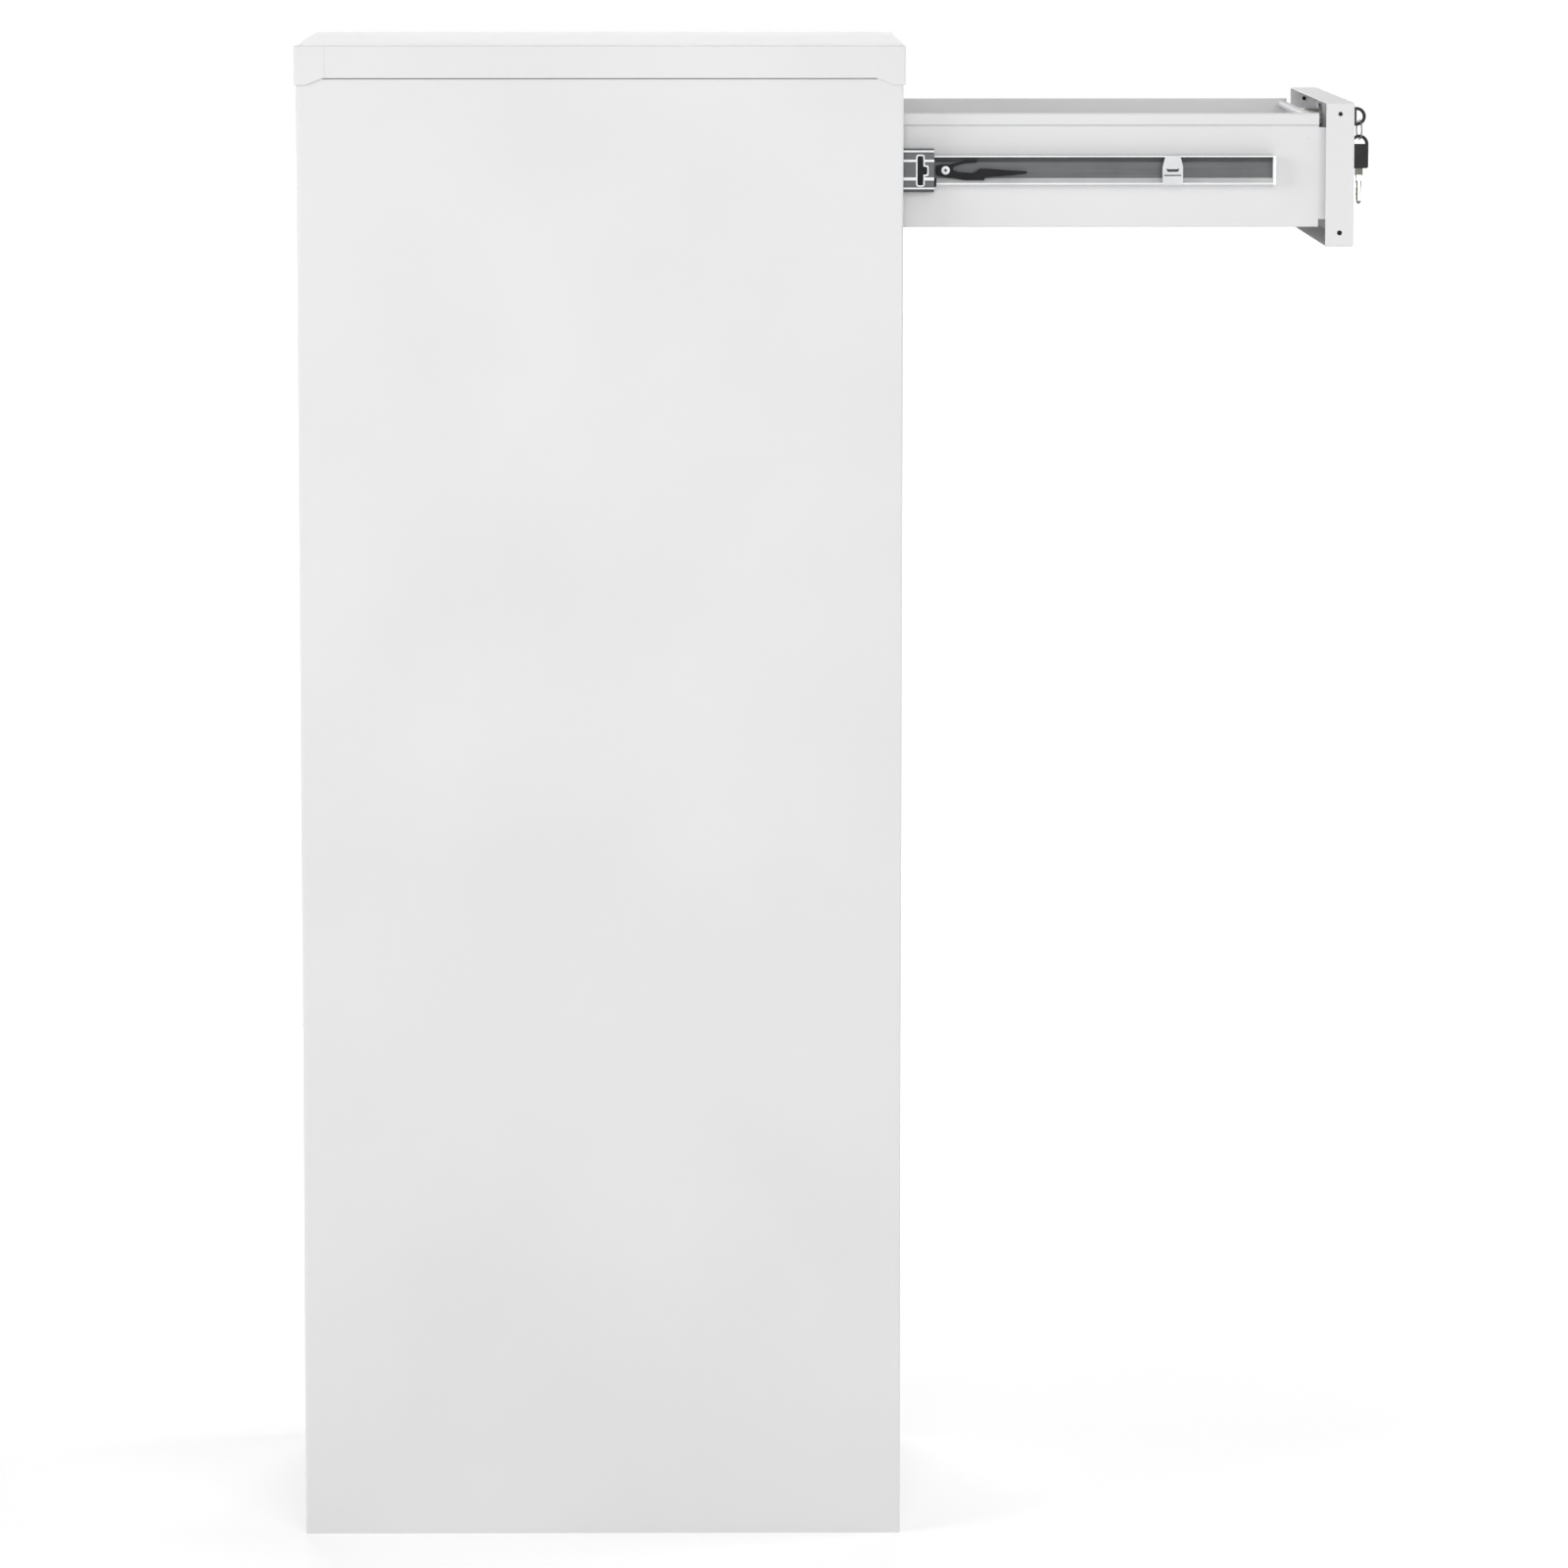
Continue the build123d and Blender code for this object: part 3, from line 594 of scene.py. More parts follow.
@dataclass
class Piece:
    """Shells gathered into one piece of the cabinet.

    Args:
        name: The piece's name.
        body: The CAD body that it moves with.
        finish: Its finish.
        slot: The record's material slot; not used.
        stands_for: CAD nodes that it replaces.
        sharp: Angle in degrees over which an edge stays sharp.
        shapes: Its shells, in millimetres.
    """

    name: str
    body: str
    finish: Finish
    slot: str
    stands_for: tuple[str, ...] = ()
    sharp: float = 32.0
    shapes: list[Shape] = field(default_factory=list)

    def add(self, shape: Shape) -> "Piece":
        """Add a shell."""
        self.shapes.append(shape)
        return self

    def add_both(self, shape: Shape) -> "Piece":
        """Add a left-hand shell and its mirror image."""
        return self.add(shape).add(mirrored(shape))

    def make(self, drilled: list[Shape] | None = None) -> None:
        """Put the shells into a mesh, with faces outwards, and dress it.

        Args:
            drilled: Shells that are cut away.
        """
        made = linked(self.name, self.mesh(self.name, self.shapes, 1e-7))
        if drilled:
            self.cut(made, drilled)
        made.data.materials.append(self.finish.material())
        made.data.shade_smooth()
        made.data.set_sharp_from_angle(angle=math.radians(self.sharp))
        weighted = made.modifiers.new("weighted", "WEIGHTED_NORMAL")
        weighted.keep_sharp = True
        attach(made, self.body)
        if self.stands_for:
            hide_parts(*self.stands_for)
        LOG.info("%s: %d faces on %s", self.name, len(made.data.polygons), self.body)

    def mesh(self, name: str, shapes: list[Shape], merge: float) -> bpy.types.Mesh:
        """A mesh in metres from shells in millimetres.

        Args:
            name: The mesh's name.
            shapes: The shells.
            merge: Distance under which points are one.

        Returns:
            The mesh.
        """
        points, faces = gathered(shapes)
        mesh = bpy.data.meshes.new(name)
        mesh.from_pydata((points * MM).tolist(), [], faces)
        settle(mesh, merge, True)
        return mesh

    def cut(self, made: bpy.types.Object, drilled: list[Shape]) -> None:
        """Cut shells out of the piece's mesh.

        Args:
            made: The object.
            drilled: The shells that are cut away.
        """
        tool = linked("drill", self.mesh("drill", drilled, 0.0))
        boolean = made.modifiers.new("cut", "BOOLEAN")
        boolean.object, boolean.operation, boolean.solver = tool, "DIFFERENCE", "EXACT"
        graph = bpy.context.evaluated_depsgraph_get()
        whole = bpy.data.meshes.new_from_object(made.evaluated_get(graph))
        made.modifiers.clear()
        made.data = whole
        whole.name = self.name
        bpy.data.objects.remove(tool)


def dress(node: str, finish: Finish) -> None:
    """Give a CAD node its finish.

    Args:
        node: The node's name.
        finish: Its finish.
    """
    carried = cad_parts[node]
    for holder in carried.material_slots:
        holder.material = finish.material()
    LOG.info("%s: dressed in %s", node, finish.name)


@dataclass
class Shell:
    """The cabinet's body: cover, panels, frame, rails and glides, in millimetres."""

    cover_depth: float = 40.0
    cover_side_depth: float = 33.0
    tab_land: float = 12.0
    tab_slope: float = 17.0
    tab_step: float = 0.35
    sheet: float = 1.0
    cover_bend: float = 2.0
    edge_turn: float = 0.9
    gap_strip: Pair = (1.1, 1.9)
    gap_strip_drop: float = 0.9
    gap_strip_rise: float = 3.0
    rivet_rows: int = 7
    rivet_end: float = 60.0
    rivet_inset: float = 4.5
    glide_inset: float = 15.0
    stud: Pair = (3.95, 3.5)

    def cover(self) -> None:
        """Top cover as rings from the inside of its roof, over the edge and round.

        Each ring is the cover's rounded outline, moved in or out, and the
        lower edge's height is a stepped line along the side: deep at the tabs
        and shallower between them. Between the tabs the side lies back a
        little, which gives the tab its seam.
        """
        half_x, half_y, top = corners("top_cap")[1]
        land = half_y - self.tab_land
        foot = land - self.tab_slope
        seam = foot - 2
        along = np.array([land, foot, seam + 0.2, seam, -seam, -seam - 0.2, -foot, -land])
        drop = np.array([self.cover_depth, *[self.cover_side_depth] * 6, self.cover_depth])
        back = self.tab_step * np.array([0, 0, 0, 1, 1, 0, 0, 0])
        bend, low_roof = self.cover_bend, top - self.cover_bend - 1.5

        def ring(inset: float, height: float | None, radius: float) -> np.ndarray:
            """The outline moved in, at one height or along the lower edge.

            Args:
                inset: How far it is moved in.
                height: Its height, or None for the lower edge's.
                radius: Its corner radius.

            Returns:
                The ring's points.
            """
            outline = centred_box((0, 0), (half_x - inset, half_y - inset), radius)
            half = len(outline) // 2
            depth = np.full(half, self.cover_depth)
            cut = back * (height is None or height < top - bend - 1)
            right = np.stack([half_x - inset - cut[::-1], along[::-1]], axis=1)
            left = np.stack([-half_x + inset + cut, along], axis=1)
            points = np.vstack([outline[:half], right, outline[half:], left])
            depths = np.concatenate([depth, drop, depth, drop])
            place = top - depths if height is None else np.full(len(points), height)
            return np.column_stack([points, place])

        angle = np.linspace(0, math.pi / 2, 6)
        over = [ring(bend * (1 - math.sin(a)), top - bend * (1 - math.cos(a)), bend) for a in angle]
        hem = ring(0.0, None, bend)
        hem[:, 2] += self.edge_turn
        stack = [ring(self.sheet, top - self.sheet, 1.0), ring(self.sheet, low_roof, 1.0),
                 ring(self.sheet, None, 1.0), ring(self.edge_turn * 0.7, None, bend - 0.7), hem,
                 ring(0.0, low_roof, bend), *over[::-1]]
        Piece("top_cover", "cabinet", BODY, "body_enamel", ("top_cap",)).add(rings(stack)).make()
        self.joint(half_x, foot, top - self.cover_side_depth)

    def joint(self, half_x: float, reach: float, edge: float) -> None:
        """Thin dark strip in the gap between the cover's sides and the panels: painted shade.

        Args:
            half_x: Half the cover's width.
            reach: Half the strip's length.
            edge: Height of the cover's lower edge.
        """
        outer, inner = self.gap_strip
        low, high = (-half_x + outer, edge - self.gap_strip_drop), (-half_x + inner, edge + self.gap_strip_rise)
        section = box_outline(low, high, 0.15, 3)
        # A dull grey strip that paints the shade in the gap.
        piece = Piece("cover_painted_shadow", "cabinet", SHADOW_GREY, "body_enamel")
        piece.add_both(extruded(section, Axis.Y, -reach, reach)).make()

    def fixings(self) -> None:
        """Blind rivets that hold the back panel: flat domes round their sunk mandrels."""
        low, high = corners("back_panel")
        rear = corners("side_panel_left")[1][1]
        head = [(2.6, -0.3), (2.6, 0.15), (2.236, 0.24), (1.612, 0.4), (1.04, 0.4), (0.884, 0.18),
                (0.05, 0.16)]
        piece = Piece("back_rivets", "cabinet", ZINC, "zinc_slide")
        for height in np.linspace(low[2] + self.rivet_end, high[2] - self.rivet_end, self.rivet_rows):
            for side in (-1, 1):
                piece.add(turned(head, (side * (high[0] - self.rivet_inset), rear, height), Axis.Y, 20))
        piece.make()

    def glides(self) -> None:
        """Levelling glides: pads and threaded studs."""
        low, high = corners("levelling_glides")
        pads = Piece("glide_pads", "cabinet", GLIDE, "glide_plastic", ("levelling_glides",))
        studs = Piece("glide_studs", "cabinet", ZINC, "zinc_slide")
        pad = [(12.5, 0), (14.2, 0.4), (15, 1.6), (15, 3.6), (14, 5), (9, 6), (6, 6)]
        thread = [(self.stud[index % 2], 6 + 36 * share) for index, share in enumerate(np.linspace(0, 1, 67))]
        for x in (low[0] + self.glide_inset, high[0] - self.glide_inset):
            for y in (low[1] + self.glide_inset, high[1] - self.glide_inset):
                pads.add(turned(pad, (x, y, 0), Axis.Z, 40))
                studs.add(turned([(3.5, 5.8), *thread, (3, 42)], (x, y, 0), Axis.Z, 16))
        pads.make()
        studs.make()

    def build(self) -> None:
        """Build the shell's own pieces and dress the CAD nodes that stay."""
        self.cover()
        self.fixings()
        self.glides()
        for node in ("side_panel_left", "side_panel_right", "front_header", "front_plinth"):
            dress(node, BODY)
        dress("back_panel", BODY)
        for node in ("base_pan", "slide_uprights", "cross_rails"):
            dress(node, INSIDE)


@dataclass
class DrawerPart:
    """What belongs to one of the five drawers, counted from the top."""

    number: int

    def node(self, part: str = "") -> str:
        """The name of this drawer's body, or of one of its parts in the CAD."""
        return f"drawer_{self.number}" + (f"_{part}" if part else "")

    def piece(self, kind: str, finish: Finish, slot: str, node: str = "", body: str = "",
              sharp: float = 32.0) -> Piece:
        """An empty piece of this drawer.

        Args:
            kind: Its name after the drawer's.
            finish: Its finish.
            slot: The record's material slot.
            node: The part that it replaces, if any.
            body: The part that it moves with, if not the drawer itself.
            sharp: Angle in degrees over which an edge stays sharp.

        Returns:
            The piece.
        """
        stands_for = (self.node(node),) if node else ()
        return Piece(self.node(kind), self.node(body), finish, slot, stands_for, sharp)


@dataclass
class Slides(DrawerPart):
    """One drawer's pair of three-part ball slides, in millimetres.

    Depth is measured from the upright's face towards the drawer. The balls of
    a cage are given by their rows' height off the middle line, their depth and
    their size.
    """

    length: float = 500.0
    sheet: float = 1.2
    outer_half: float = 26.5
    middle_half: float = 22.2
    inner_half: float = 15.0
    face: float = 207.0
    outer_reach: float = 12.0
    outer_lip: float = 3.2
    middle_reach: float = 15.0
    middle_lip: float = 5.8
    web: float = 3.2
    web_lean: Pair = (3.0, 4.4)
    inner_depth: float = 19.0
    inner_near: float = 6.0
    inner_end: float = 3.0
    slope: Pair = (7.0, 6.2)
    slot_setback: float = 11.0
    slot_rim: float = 1.5
    screw_setbacks: tuple[float, ...] = (160.0, 300.0, 440.0)
    bridge_setback: float = 92.0
    bridge_foot: float = 10.5
    bridge_neck: float = 7.6
    pivot_setback: float = 334.0
    lever_sheet: float = 1.8
    lever_bore: float = 2.7
    ball_pitch: float = 24.0
    outer_balls: Point = (23.75, 6.0, 2.45)
    inner_balls: Point = (18.1, 10.7, 5.4)
    cage_web: float = 5.3

    def across(self, depth: float) -> float:
        """The left slide's x at a depth."""
        return depth - self.face

    def placed(self, line: Line) -> np.ndarray:
        """A line of depths, and heights from the middle line, as x and z on the left side."""
        return np.array(line, float) + [-self.face, self.level()]

    def level(self) -> float:
        """Height of the slide's middle line."""
        low, high = corners(self.node("middle_slides"))
        return float(low[2] + high[2]) / 2

    def outer(self) -> Shape:
        """Cabinet member: a C whose flanges curl in round the ball rows.

        Returns:
            The left one's points and faces.
        """
        half, front = self.outer_half, corners("outer_slides")[0][1]
        line = doubled([(self.outer_reach, half - self.outer_lip), (self.outer_reach, half), (0, half)])
        section = sheet_section(self.placed(line), self.sheet, [0.9, 2.2, 2.2, 0.9])
        return extruded(section, Axis.Y, front, front + self.length)

    def middle(self) -> None:
        """Middle member: a C whose web leans back to its flanges, with its T slot and screw holes."""
        low, high = corners(self.node("middle_slides"))
        half, height, lean = self.middle_half, self.level(), self.web_lean
        line = doubled([(self.middle_reach, half - self.middle_lip), (self.middle_reach, half),
                        (self.web + lean[0], half), (self.web, half - lean[1])])
        section = sheet_section(self.placed(line), self.sheet, [0.9, 1.4, 0.8, 0.8, 1.4, 0.9])
        self.ribs(low[1], high[1], height)
        self.latches_and_slot_shade(low[1], height)
        cutters = [self.tee(low[1] + self.slot_setback, height, 0.0)]
        for near in [low[1] + setback for setback in self.screw_setbacks]:
            cutters.append(box_outline((near, height - 3.2), (near + 14, height + 3.2), 3.1))
        holes = [extruded(outline, Axis.X, -self.face - 1, -self.face + 6) for outline in cutters]
        # Its grey paints the dark reflection on the member's web.
        piece = self.piece("middle_members", PAINTED_DARK_ZINC, "zinc_slide", "middle_slides", "middle")
        piece.add_both(extruded(section, Axis.Y, low[1], high[1]))
        piece.make(holes + [mirrored(hole) for hole in holes])

    def ribs(self, front: float, rear: float, height: float) -> None:
        """Ribs along the middle member's web, and the rim round its T slot, near-white as a painted
        highlight.

        The two inner ribs break off at the slot.

        Args:
            front: The member's front.
            rear: The member's rear.
            height: Its middle line.
        """
        half, web, start = self.middle_half, self.web, front + self.slot_setback
        piece = self.piece("middle_ribs", PAINTED_BRIGHT_ZINC, "zinc_slide", body="middle")
        for centre, wide, broken in ((half - 2.6, 1.6, False), (10.0, 2.2, True), (-8.4, 3.0, True),
                                     (-half + 4.2, 1.4, False)):
            rib = [(web + 0.4, centre - wide / 2 - 0.4), (web + 0.4, centre + wide / 2 + 0.4),
                   (web - 1.0, centre + wide / 2), (web - 1.0, centre - wide / 2)]
            crown = rounded(self.placed(rib), [0, 0, 0.5, 0.5], 4)
            for near, far in [(front, start - 0.5), (start + 6.5, rear)] if broken else [(front, rear)]:
                piece.add_both(extruded(crown, Axis.Y, near, far))
        depth = self.across(web)
        rims = [self.tee(start, height, out) for out in (self.slot_rim, 0.0)]
        piece.add_both(plate(rims, Axis.X, depth - 0.6, depth + 0.3, 0.25)).make()

    def latches_and_slot_shade(self, front: float, height: float) -> None:
        """Black latch that fills the T slot, and the stop at the middle member's front.

        The latch is a real black part, and its black also paints the shade deep in the slot behind it.

        Args:
            front: The member's front.
            height: Its middle line.
        """
        depth = self.across(self.web)
        plug = self.piece("slot_latches_and_shade", BLACK, "lever_plastic", body="middle")
        # The latch's black is partly painted shade for the deep slot.
        latch = self.tee(front + self.slot_setback, height, -0.2)
        plug.add_both(plate([latch], Axis.X, depth + 0.15, depth + 1.15, 0.2))
        stop = box_outline((front - 2.4, height - 16.5), (front + 0.6, height - 7.5), 0.6, 4)
        plug.add_both(plate([stop], Axis.X, depth + 0.1, depth + 2.3, 0.3)).make()

    def tee(self, start: float, height: float, out: float) -> np.ndarray:
        """Outline of the T slot, 6 by 30 with an 8 by 4 nub towards the front, moved out all round.

        Args:
            start: The long side's y towards the front.
            height: The slot's middle.
            out: How far it is moved out.

        Returns:
            The rounded outline in y and z.
        """
        near, far, half, nub = -out, 6 + out, 15 + out, 4 + out
        shape = np.array([(near, -half), (far, -half), (far, half), (near, half), (near, nub),
                          (near - 4, nub), (near - 4, -nub), (near, -nub)])
        return rounded(shape + [start, height], [1.2 + max(out, 0)] * 4 + [0.6, 1.6, 1.6, 0.6], 4)

    def inner(self) -> None:
        """Drawer member: flat web, flanges that slope out to the ball races, and what it carries."""
        low, high = corners(self.node("inner_slides"))
        half, height, (lean, rise) = self.inner_half, self.level(), self.slope
        front, rear = low[1] + self.inner_end, high[1]
        crest = (self.inner_depth, half - rise)
        bend = (self.inner_depth - lean, half)
        upper = [(self.inner_depth, rise - half), crest, bend, (self.inner_near + 0.4, half)]
        lower = [(self.inner_near, -half + 2.4), (self.inner_near, -half), (bend[0], -half),
                 (self.inner_depth, rise - half)]
        # The web's grey is a painted dark reflection.
        piece = self.piece("inner_members", PAINTED_DARK_ZINC, "zinc_slide", "inner_slides")
        section = sheet_section(self.placed(upper), self.sheet, [1.6, 2.0])
        piece.add_both(extruded(section, Axis.Y, front, rear)).make()
        # Lower flange, top edge, bumper and rivet head in near-white zinc: a painted highlight.
        trim = self.piece("slide_bridges", PAINTED_BRIGHT_ZINC, "zinc_slide")
        section = sheet_section(self.placed(lower), self.sheet, [0.7, 2.0])
        trim.add_both(extruded(section, Axis.Y, front, rear))
        near = self.across(self.inner_near)
        edge = box_outline((near, height + half - 1.5), (near + 0.6, height + half), 0.25, 4)
        trim.add_both(extruded(edge, Axis.Y, front, rear))
        self.bridge(front + self.bridge_setback + self.bridge_foot, height, near)
        bumper = box_outline((front - 3, height - half), (front, height + half), 0.8)
        trim.add_both(extruded(bumper, Axis.X, near, self.across(self.inner_depth)))
        place = (self.lever_face() - 1.25, self.pivot(), height)
        head = [(2.5, 8.0), (2.5, 1.2), (4.4, 1.2), (4.4, 0.6), (3.6, 0.1), (2.3, 0), (2.1, 0.5)]
        trim.add_both(turned(head, place, Axis.X, 24)).make()
        # The rivet's core shares the webs' painted dark reflection.
        core = self.piece("rivet_cores", PAINTED_DARK_ZINC, "zinc_slide", sharp=20.0)
        mandrel = [(2.2, 0.9), (2.1, 0.3), (1.2, 0.45), (0.6, 0.2), (0.05, 0.15)]
        core.add_both(turned(mandrel, place, Axis.X, 4)).make()

    def bridge(self, middle: float, height: float, near: float) -> None:
        """Pressed tab across the member that hooks the drawer, with its curved slot and step.

        Args:
            middle: The tab's middle in y.
            height: The slide's middle line.
            near: The tab's back face in x, on the left.
        """
        neck, foot, half = self.bridge_neck, self.bridge_foot, self.inner_half
        tab = [(-foot, -half), (foot, -half), (foot, 3.5), (neck, half), (-neck, half), (-foot, 3.5)]
        grip = [(-6.8, 2.6), (-5.6, -1.4), (5.6, -1.4), (6.8, 2.6), (4.6, 1.2), (-4.6, 1.2)]
        outline = rounded(np.array(tab) + [middle, height], [1.2, 1.2, 2.5, 2.8, 2.8, 2.5])
        slot = rounded(np.array(grip) + [middle, height], [0.5, 1.6, 1.6, 0.5, 0.5, 0.5], 4)
        step = box_outline((middle - foot + 1.6, height - 5.6), (middle + foot - 1.6, height - 4.5), 0.4, 3)
        tabs = self.piece("bridge_tabs", TAB, "zinc_slide")
        tabs.add_both(plate([outline, slot, step], Axis.X, near - 0.8, near, 0.25)).make()

    def pivot(self) -> float:
        """The y of the lever's rivet."""
        return float(corners(self.node("inner_slides"))[0][1]) + self.inner_end + self.pivot_setback

    def lever_face(self) -> float:
        """The x of the lever's outer face on the left."""
        return float(corners(self.node("levers"))[0][0])

    def levers(self) -> None:
        """Release levers: a long tapering tongue between two springy arms."""
        pivot, height, face = self.pivot(), self.level(), self.lever_face()
        reach = pivot - corners(self.node("levers"))[0][1]
        upper_arm = [(9.5, 4.5), (3, 6.0), (-4, 5.8), (-20, 9.9), (-32, 10.3), (-32, 7.9), (-20, 7.0),
                     (-9, 4.0), (-6.5, 0.5)]
        tongue = [(-13, -2), (-27, -3), (-31, -1.6), (-35, 1.6), (-43, 1.5), (-62, -0.2), (-reach, -1.2),
                  (-reach, -3.4), (-68, -5.2)]
        lower_arm = [(-40.5, -7.3), (-39.5, -10.0), (-20, -10.0), (-8, -8.2), (1, -7), (9.5, -5)]
        radius = [1.5, 2, 2, 4, 0.6, 0.8, 3, 2, 1.5, 4, 2, 2, 3, 6, 9, 0.8, 0.9, 6, 0.5, 0.9, 4, 4, 3, 1.5]
        outline = rounded(np.array(upper_arm + tongue + lower_arm) + [pivot, height], radius)
        bore = self.lever_bore
        hole = box_outline((pivot - bore, height - bore), (pivot + bore, height + bore), bore - 0.01)
        piece = self.piece("release_levers", BLACK, "lever_plastic", "levers", "lever")
        piece.add_both(plate([outline, hole], Axis.X, face, face + self.lever_sheet, 0.5)).make()

    def cages(self) -> None:
        """Ball cages: rows of balls held in pressed strips."""
        web = self.across(self.cage_web)
        for cage, (row, depth, size) in (("outer_cage", self.outer_balls), ("inner_cage", self.inner_balls)):
            low, high = corners(self.node(cage + "s"))
            strip = self.piece(cage + "_strips", ZINC, "cage_steel", cage + "s", cage)
            beads = self.piece(cage + "_balls", BALL, "cage_steel", body=cage, sharp=80.0)
            x = self.across(depth)
            along = np.linspace(low[1] + 8, high[1] - 8, int((high[1] - low[1]) / self.ball_pitch))
            for side in (-1, 1):
                z = self.level() + side * row
                beads.add_both(balls(np.array([(x, place, z) for place in along]), size / 2))
                if cage == "inner_cage":
                    foot = z - 0.3 * side
                    line, thickness = [(x + size * 0.4, foot), (web, foot), (web, z - side * 6)], -0.55 * side
                else:
                    foot = z - 0.35 * side
                    line, thickness = [(x - size * 0.9, foot), (x + size * 0.7, foot)], 0.6
                section = sheet_section(line, thickness, 0.5)
                strip.add_both(extruded(section, Axis.Y, low[1], high[1]))
            strip.make()
            beads.make()

    def build(self) -> Shape:
        """Build the moving members, and hand back the left cabinet member.

        Returns:
            The cabinet member's points and faces.
        """
        self.middle()
        self.inner()
        self.levers()
        self.cages()
        return self.outer()


@dataclass
class DrawerBox(DrawerPart):
    """One drawer's folded box, in millimetres."""

    sheet: float = 0.9
    half: float = 188.0
    bulge: float = 4.0
    rim: float = 12.6
    seam: float = 0.4
    bead: float = 2.1
    length: float = 535.0
    wall_drop: float = 3.0
    wall_lip: float = 4.0
    hem: float = 10.0
    ear_flange: float = 12.0
    ear_foot: float = 8.0
    ear_drop: float = 2.0
    weld_setback: float = 12.0
    weld_ends: Pair = (22.0, 14.0)

    def build(self) -> None:
        """Fold the floor and sides with their beads, then the end walls and the ears."""
        (_, skin, base), (_, rear, top) = corners(self.node("tray"))
        front, floor = rear - self.length, base + self.sheet
        inside, outside, foot = self.half - self.sheet, self.half + self.bulge, top - self.rim
        left = [(-self.half - self.seam, foot), (-outside, foot), (-outside, top), (-inside, top),
                (-inside, floor)]
        bends = [self.bead - 0.9, self.bead, 0.6, 0.7]
        section = sheet_section(left + [(-x, z) for x, z in reversed(left)], -self.sheet,
                                bends + bends[::-1])
        piece = self.piece("box", DRAWER, "drawer_enamel", "tray")
        piece.add(extruded(section, Axis.Y, front, rear))
        wall = top - self.wall_drop
        for place, inward in ((front, 1), (rear, -1)):
            back = place + inward * self.hem
            fold = [(back, wall - self.wall_lip), (back, wall), (place, wall),
                    (place, base + self.sheet * 0.6)]
            folded = sheet_section(fold, self.sheet * inward, [0.8, 0.8])
            piece.add(extruded(folded, Axis.X, -inside, inside))
        ear = [(-self.half, front), (-self.half, skin), (-inside + self.ear_flange, skin)]
        bent = sheet_section(ear, self.sheet, 1.0)
        piece.add_both(extruded(bent, Axis.Z, base + self.ear_foot, foot - self.ear_drop)).make()
        spots = np.linspace(base + self.weld_ends[0], foot - self.weld_ends[1], 3)
        self.welds((front + self.weld_setback, rear - self.weld_setback), spots)

    def welds(self, places: Pair, heights: np.ndarray) -> None:
        """Spot welds along the end walls, as shallow flat-topped marks.

        Args:
            places: The y of each row.
            heights: The heights in a row.
        """
        piece = self.piece("welds", DRAWER, "drawer_enamel")
        mark = [(2.6, 0.3), (2.6, -0.05), (2.1, -0.22), (1.2, -0.16), (0.05, -0.16)]
        for place in places:
            for height in heights:
                piece.add_both(turned(mark, (-self.half, place, height), Axis.X, 16))
        piece.make()


@dataclass
class DrawerFront(DrawerPart):
    """One drawer's front pan, in millimetres."""

    sheet: float = 1.0
    bend: float = 1.6
    cut_out: Pair = (54.5, 39.0)
    cut_rise: float = 6.5
    hole_setback: float = 14.3
    hole_top: float = 11.5
    hole_bottom: float = 14.0
    hole_radius: float = 2.6

    def build(self) -> None:
        """Pan as closed rings: from its cut-out, over the skin and the bend, along the flange and back.

        Every ring is a rounded rectangle, so that each quad runs straight out
        from the cut-out to the edge.
        """
        low, high = corners(self.node("front"))
        half, tall = self.cut_out
        sill = corners(self.node("pull"))[0][2] + self.cut_rise

        def ring(inset: float, place: float, radius: float) -> np.ndarray:
            """The front's outline moved in, at one depth."""
            foot, head = (low[0] + inset, low[2] + inset), (high[0] - inset, high[2] - inset)
            return lifted(box_outline(foot, head, radius, 4), Axis.Y, place)

        skin, bend, inner = low[1], self.bend, self.sheet
        mouth = box_outline((-half, sill), (half, sill + tall), 1.0, 4)
        angle = np.linspace(0, math.pi / 2, 5)
        over = [ring(bend * (1 - math.sin(a)), skin + bend * (1 - math.cos(a)), bend) for a in angle]
        stack = [lifted(mouth, Axis.Y, skin + inner), lifted(mouth, Axis.Y, skin), *over,
                 ring(0, high[1] - 0.3, bend), ring(0.3, high[1], bend), ring(inner, high[1], 0.8),
                 ring(inner, skin + inner, 0.8)]
        piece = self.piece("pan", DRAWER, "drawer_enamel", "front")
        piece.add(rings(stack, closed=True))
        place = skin + self.hole_setback
        upper, lower = high[2] - self.hole_top, low[2] + self.hole_bottom
        radius = self.hole_radius
        piece.make([extruded(centred_box((place, height), (radius, radius), radius - 0.001, 6), Axis.X,
                             side - 3, side + 3) for height in (upper, lower) for side in (low[0], high[0])])
        plugs = self.piece("hole_plugs", PULL, "pull_plastic")
        cores = self.piece("hole_cores", BLACK, "pull_plastic")
        bush = [(2.6, 2.2), (2.6, 0.3), (2.4, 0.1), (2.05, 0.6), (2.0, 2.2)]
        pin = [(2.0, 2.0), (2.0, 0.9), (0.05, 1.0)]
        stub = [(2.62, 2.4), (2.62, 1.4), (1.2, 1.2), (0.05, 1.6)]
        plugs.add_both(turned(bush, (low[0], place, upper), Axis.X, 20)).make()
        cores.add_both(turned(pin, (low[0], place, upper), Axis.X, 16))
        cores.add_both(turned(stub, (low[0], place, lower), Axis.X, 16)).make()


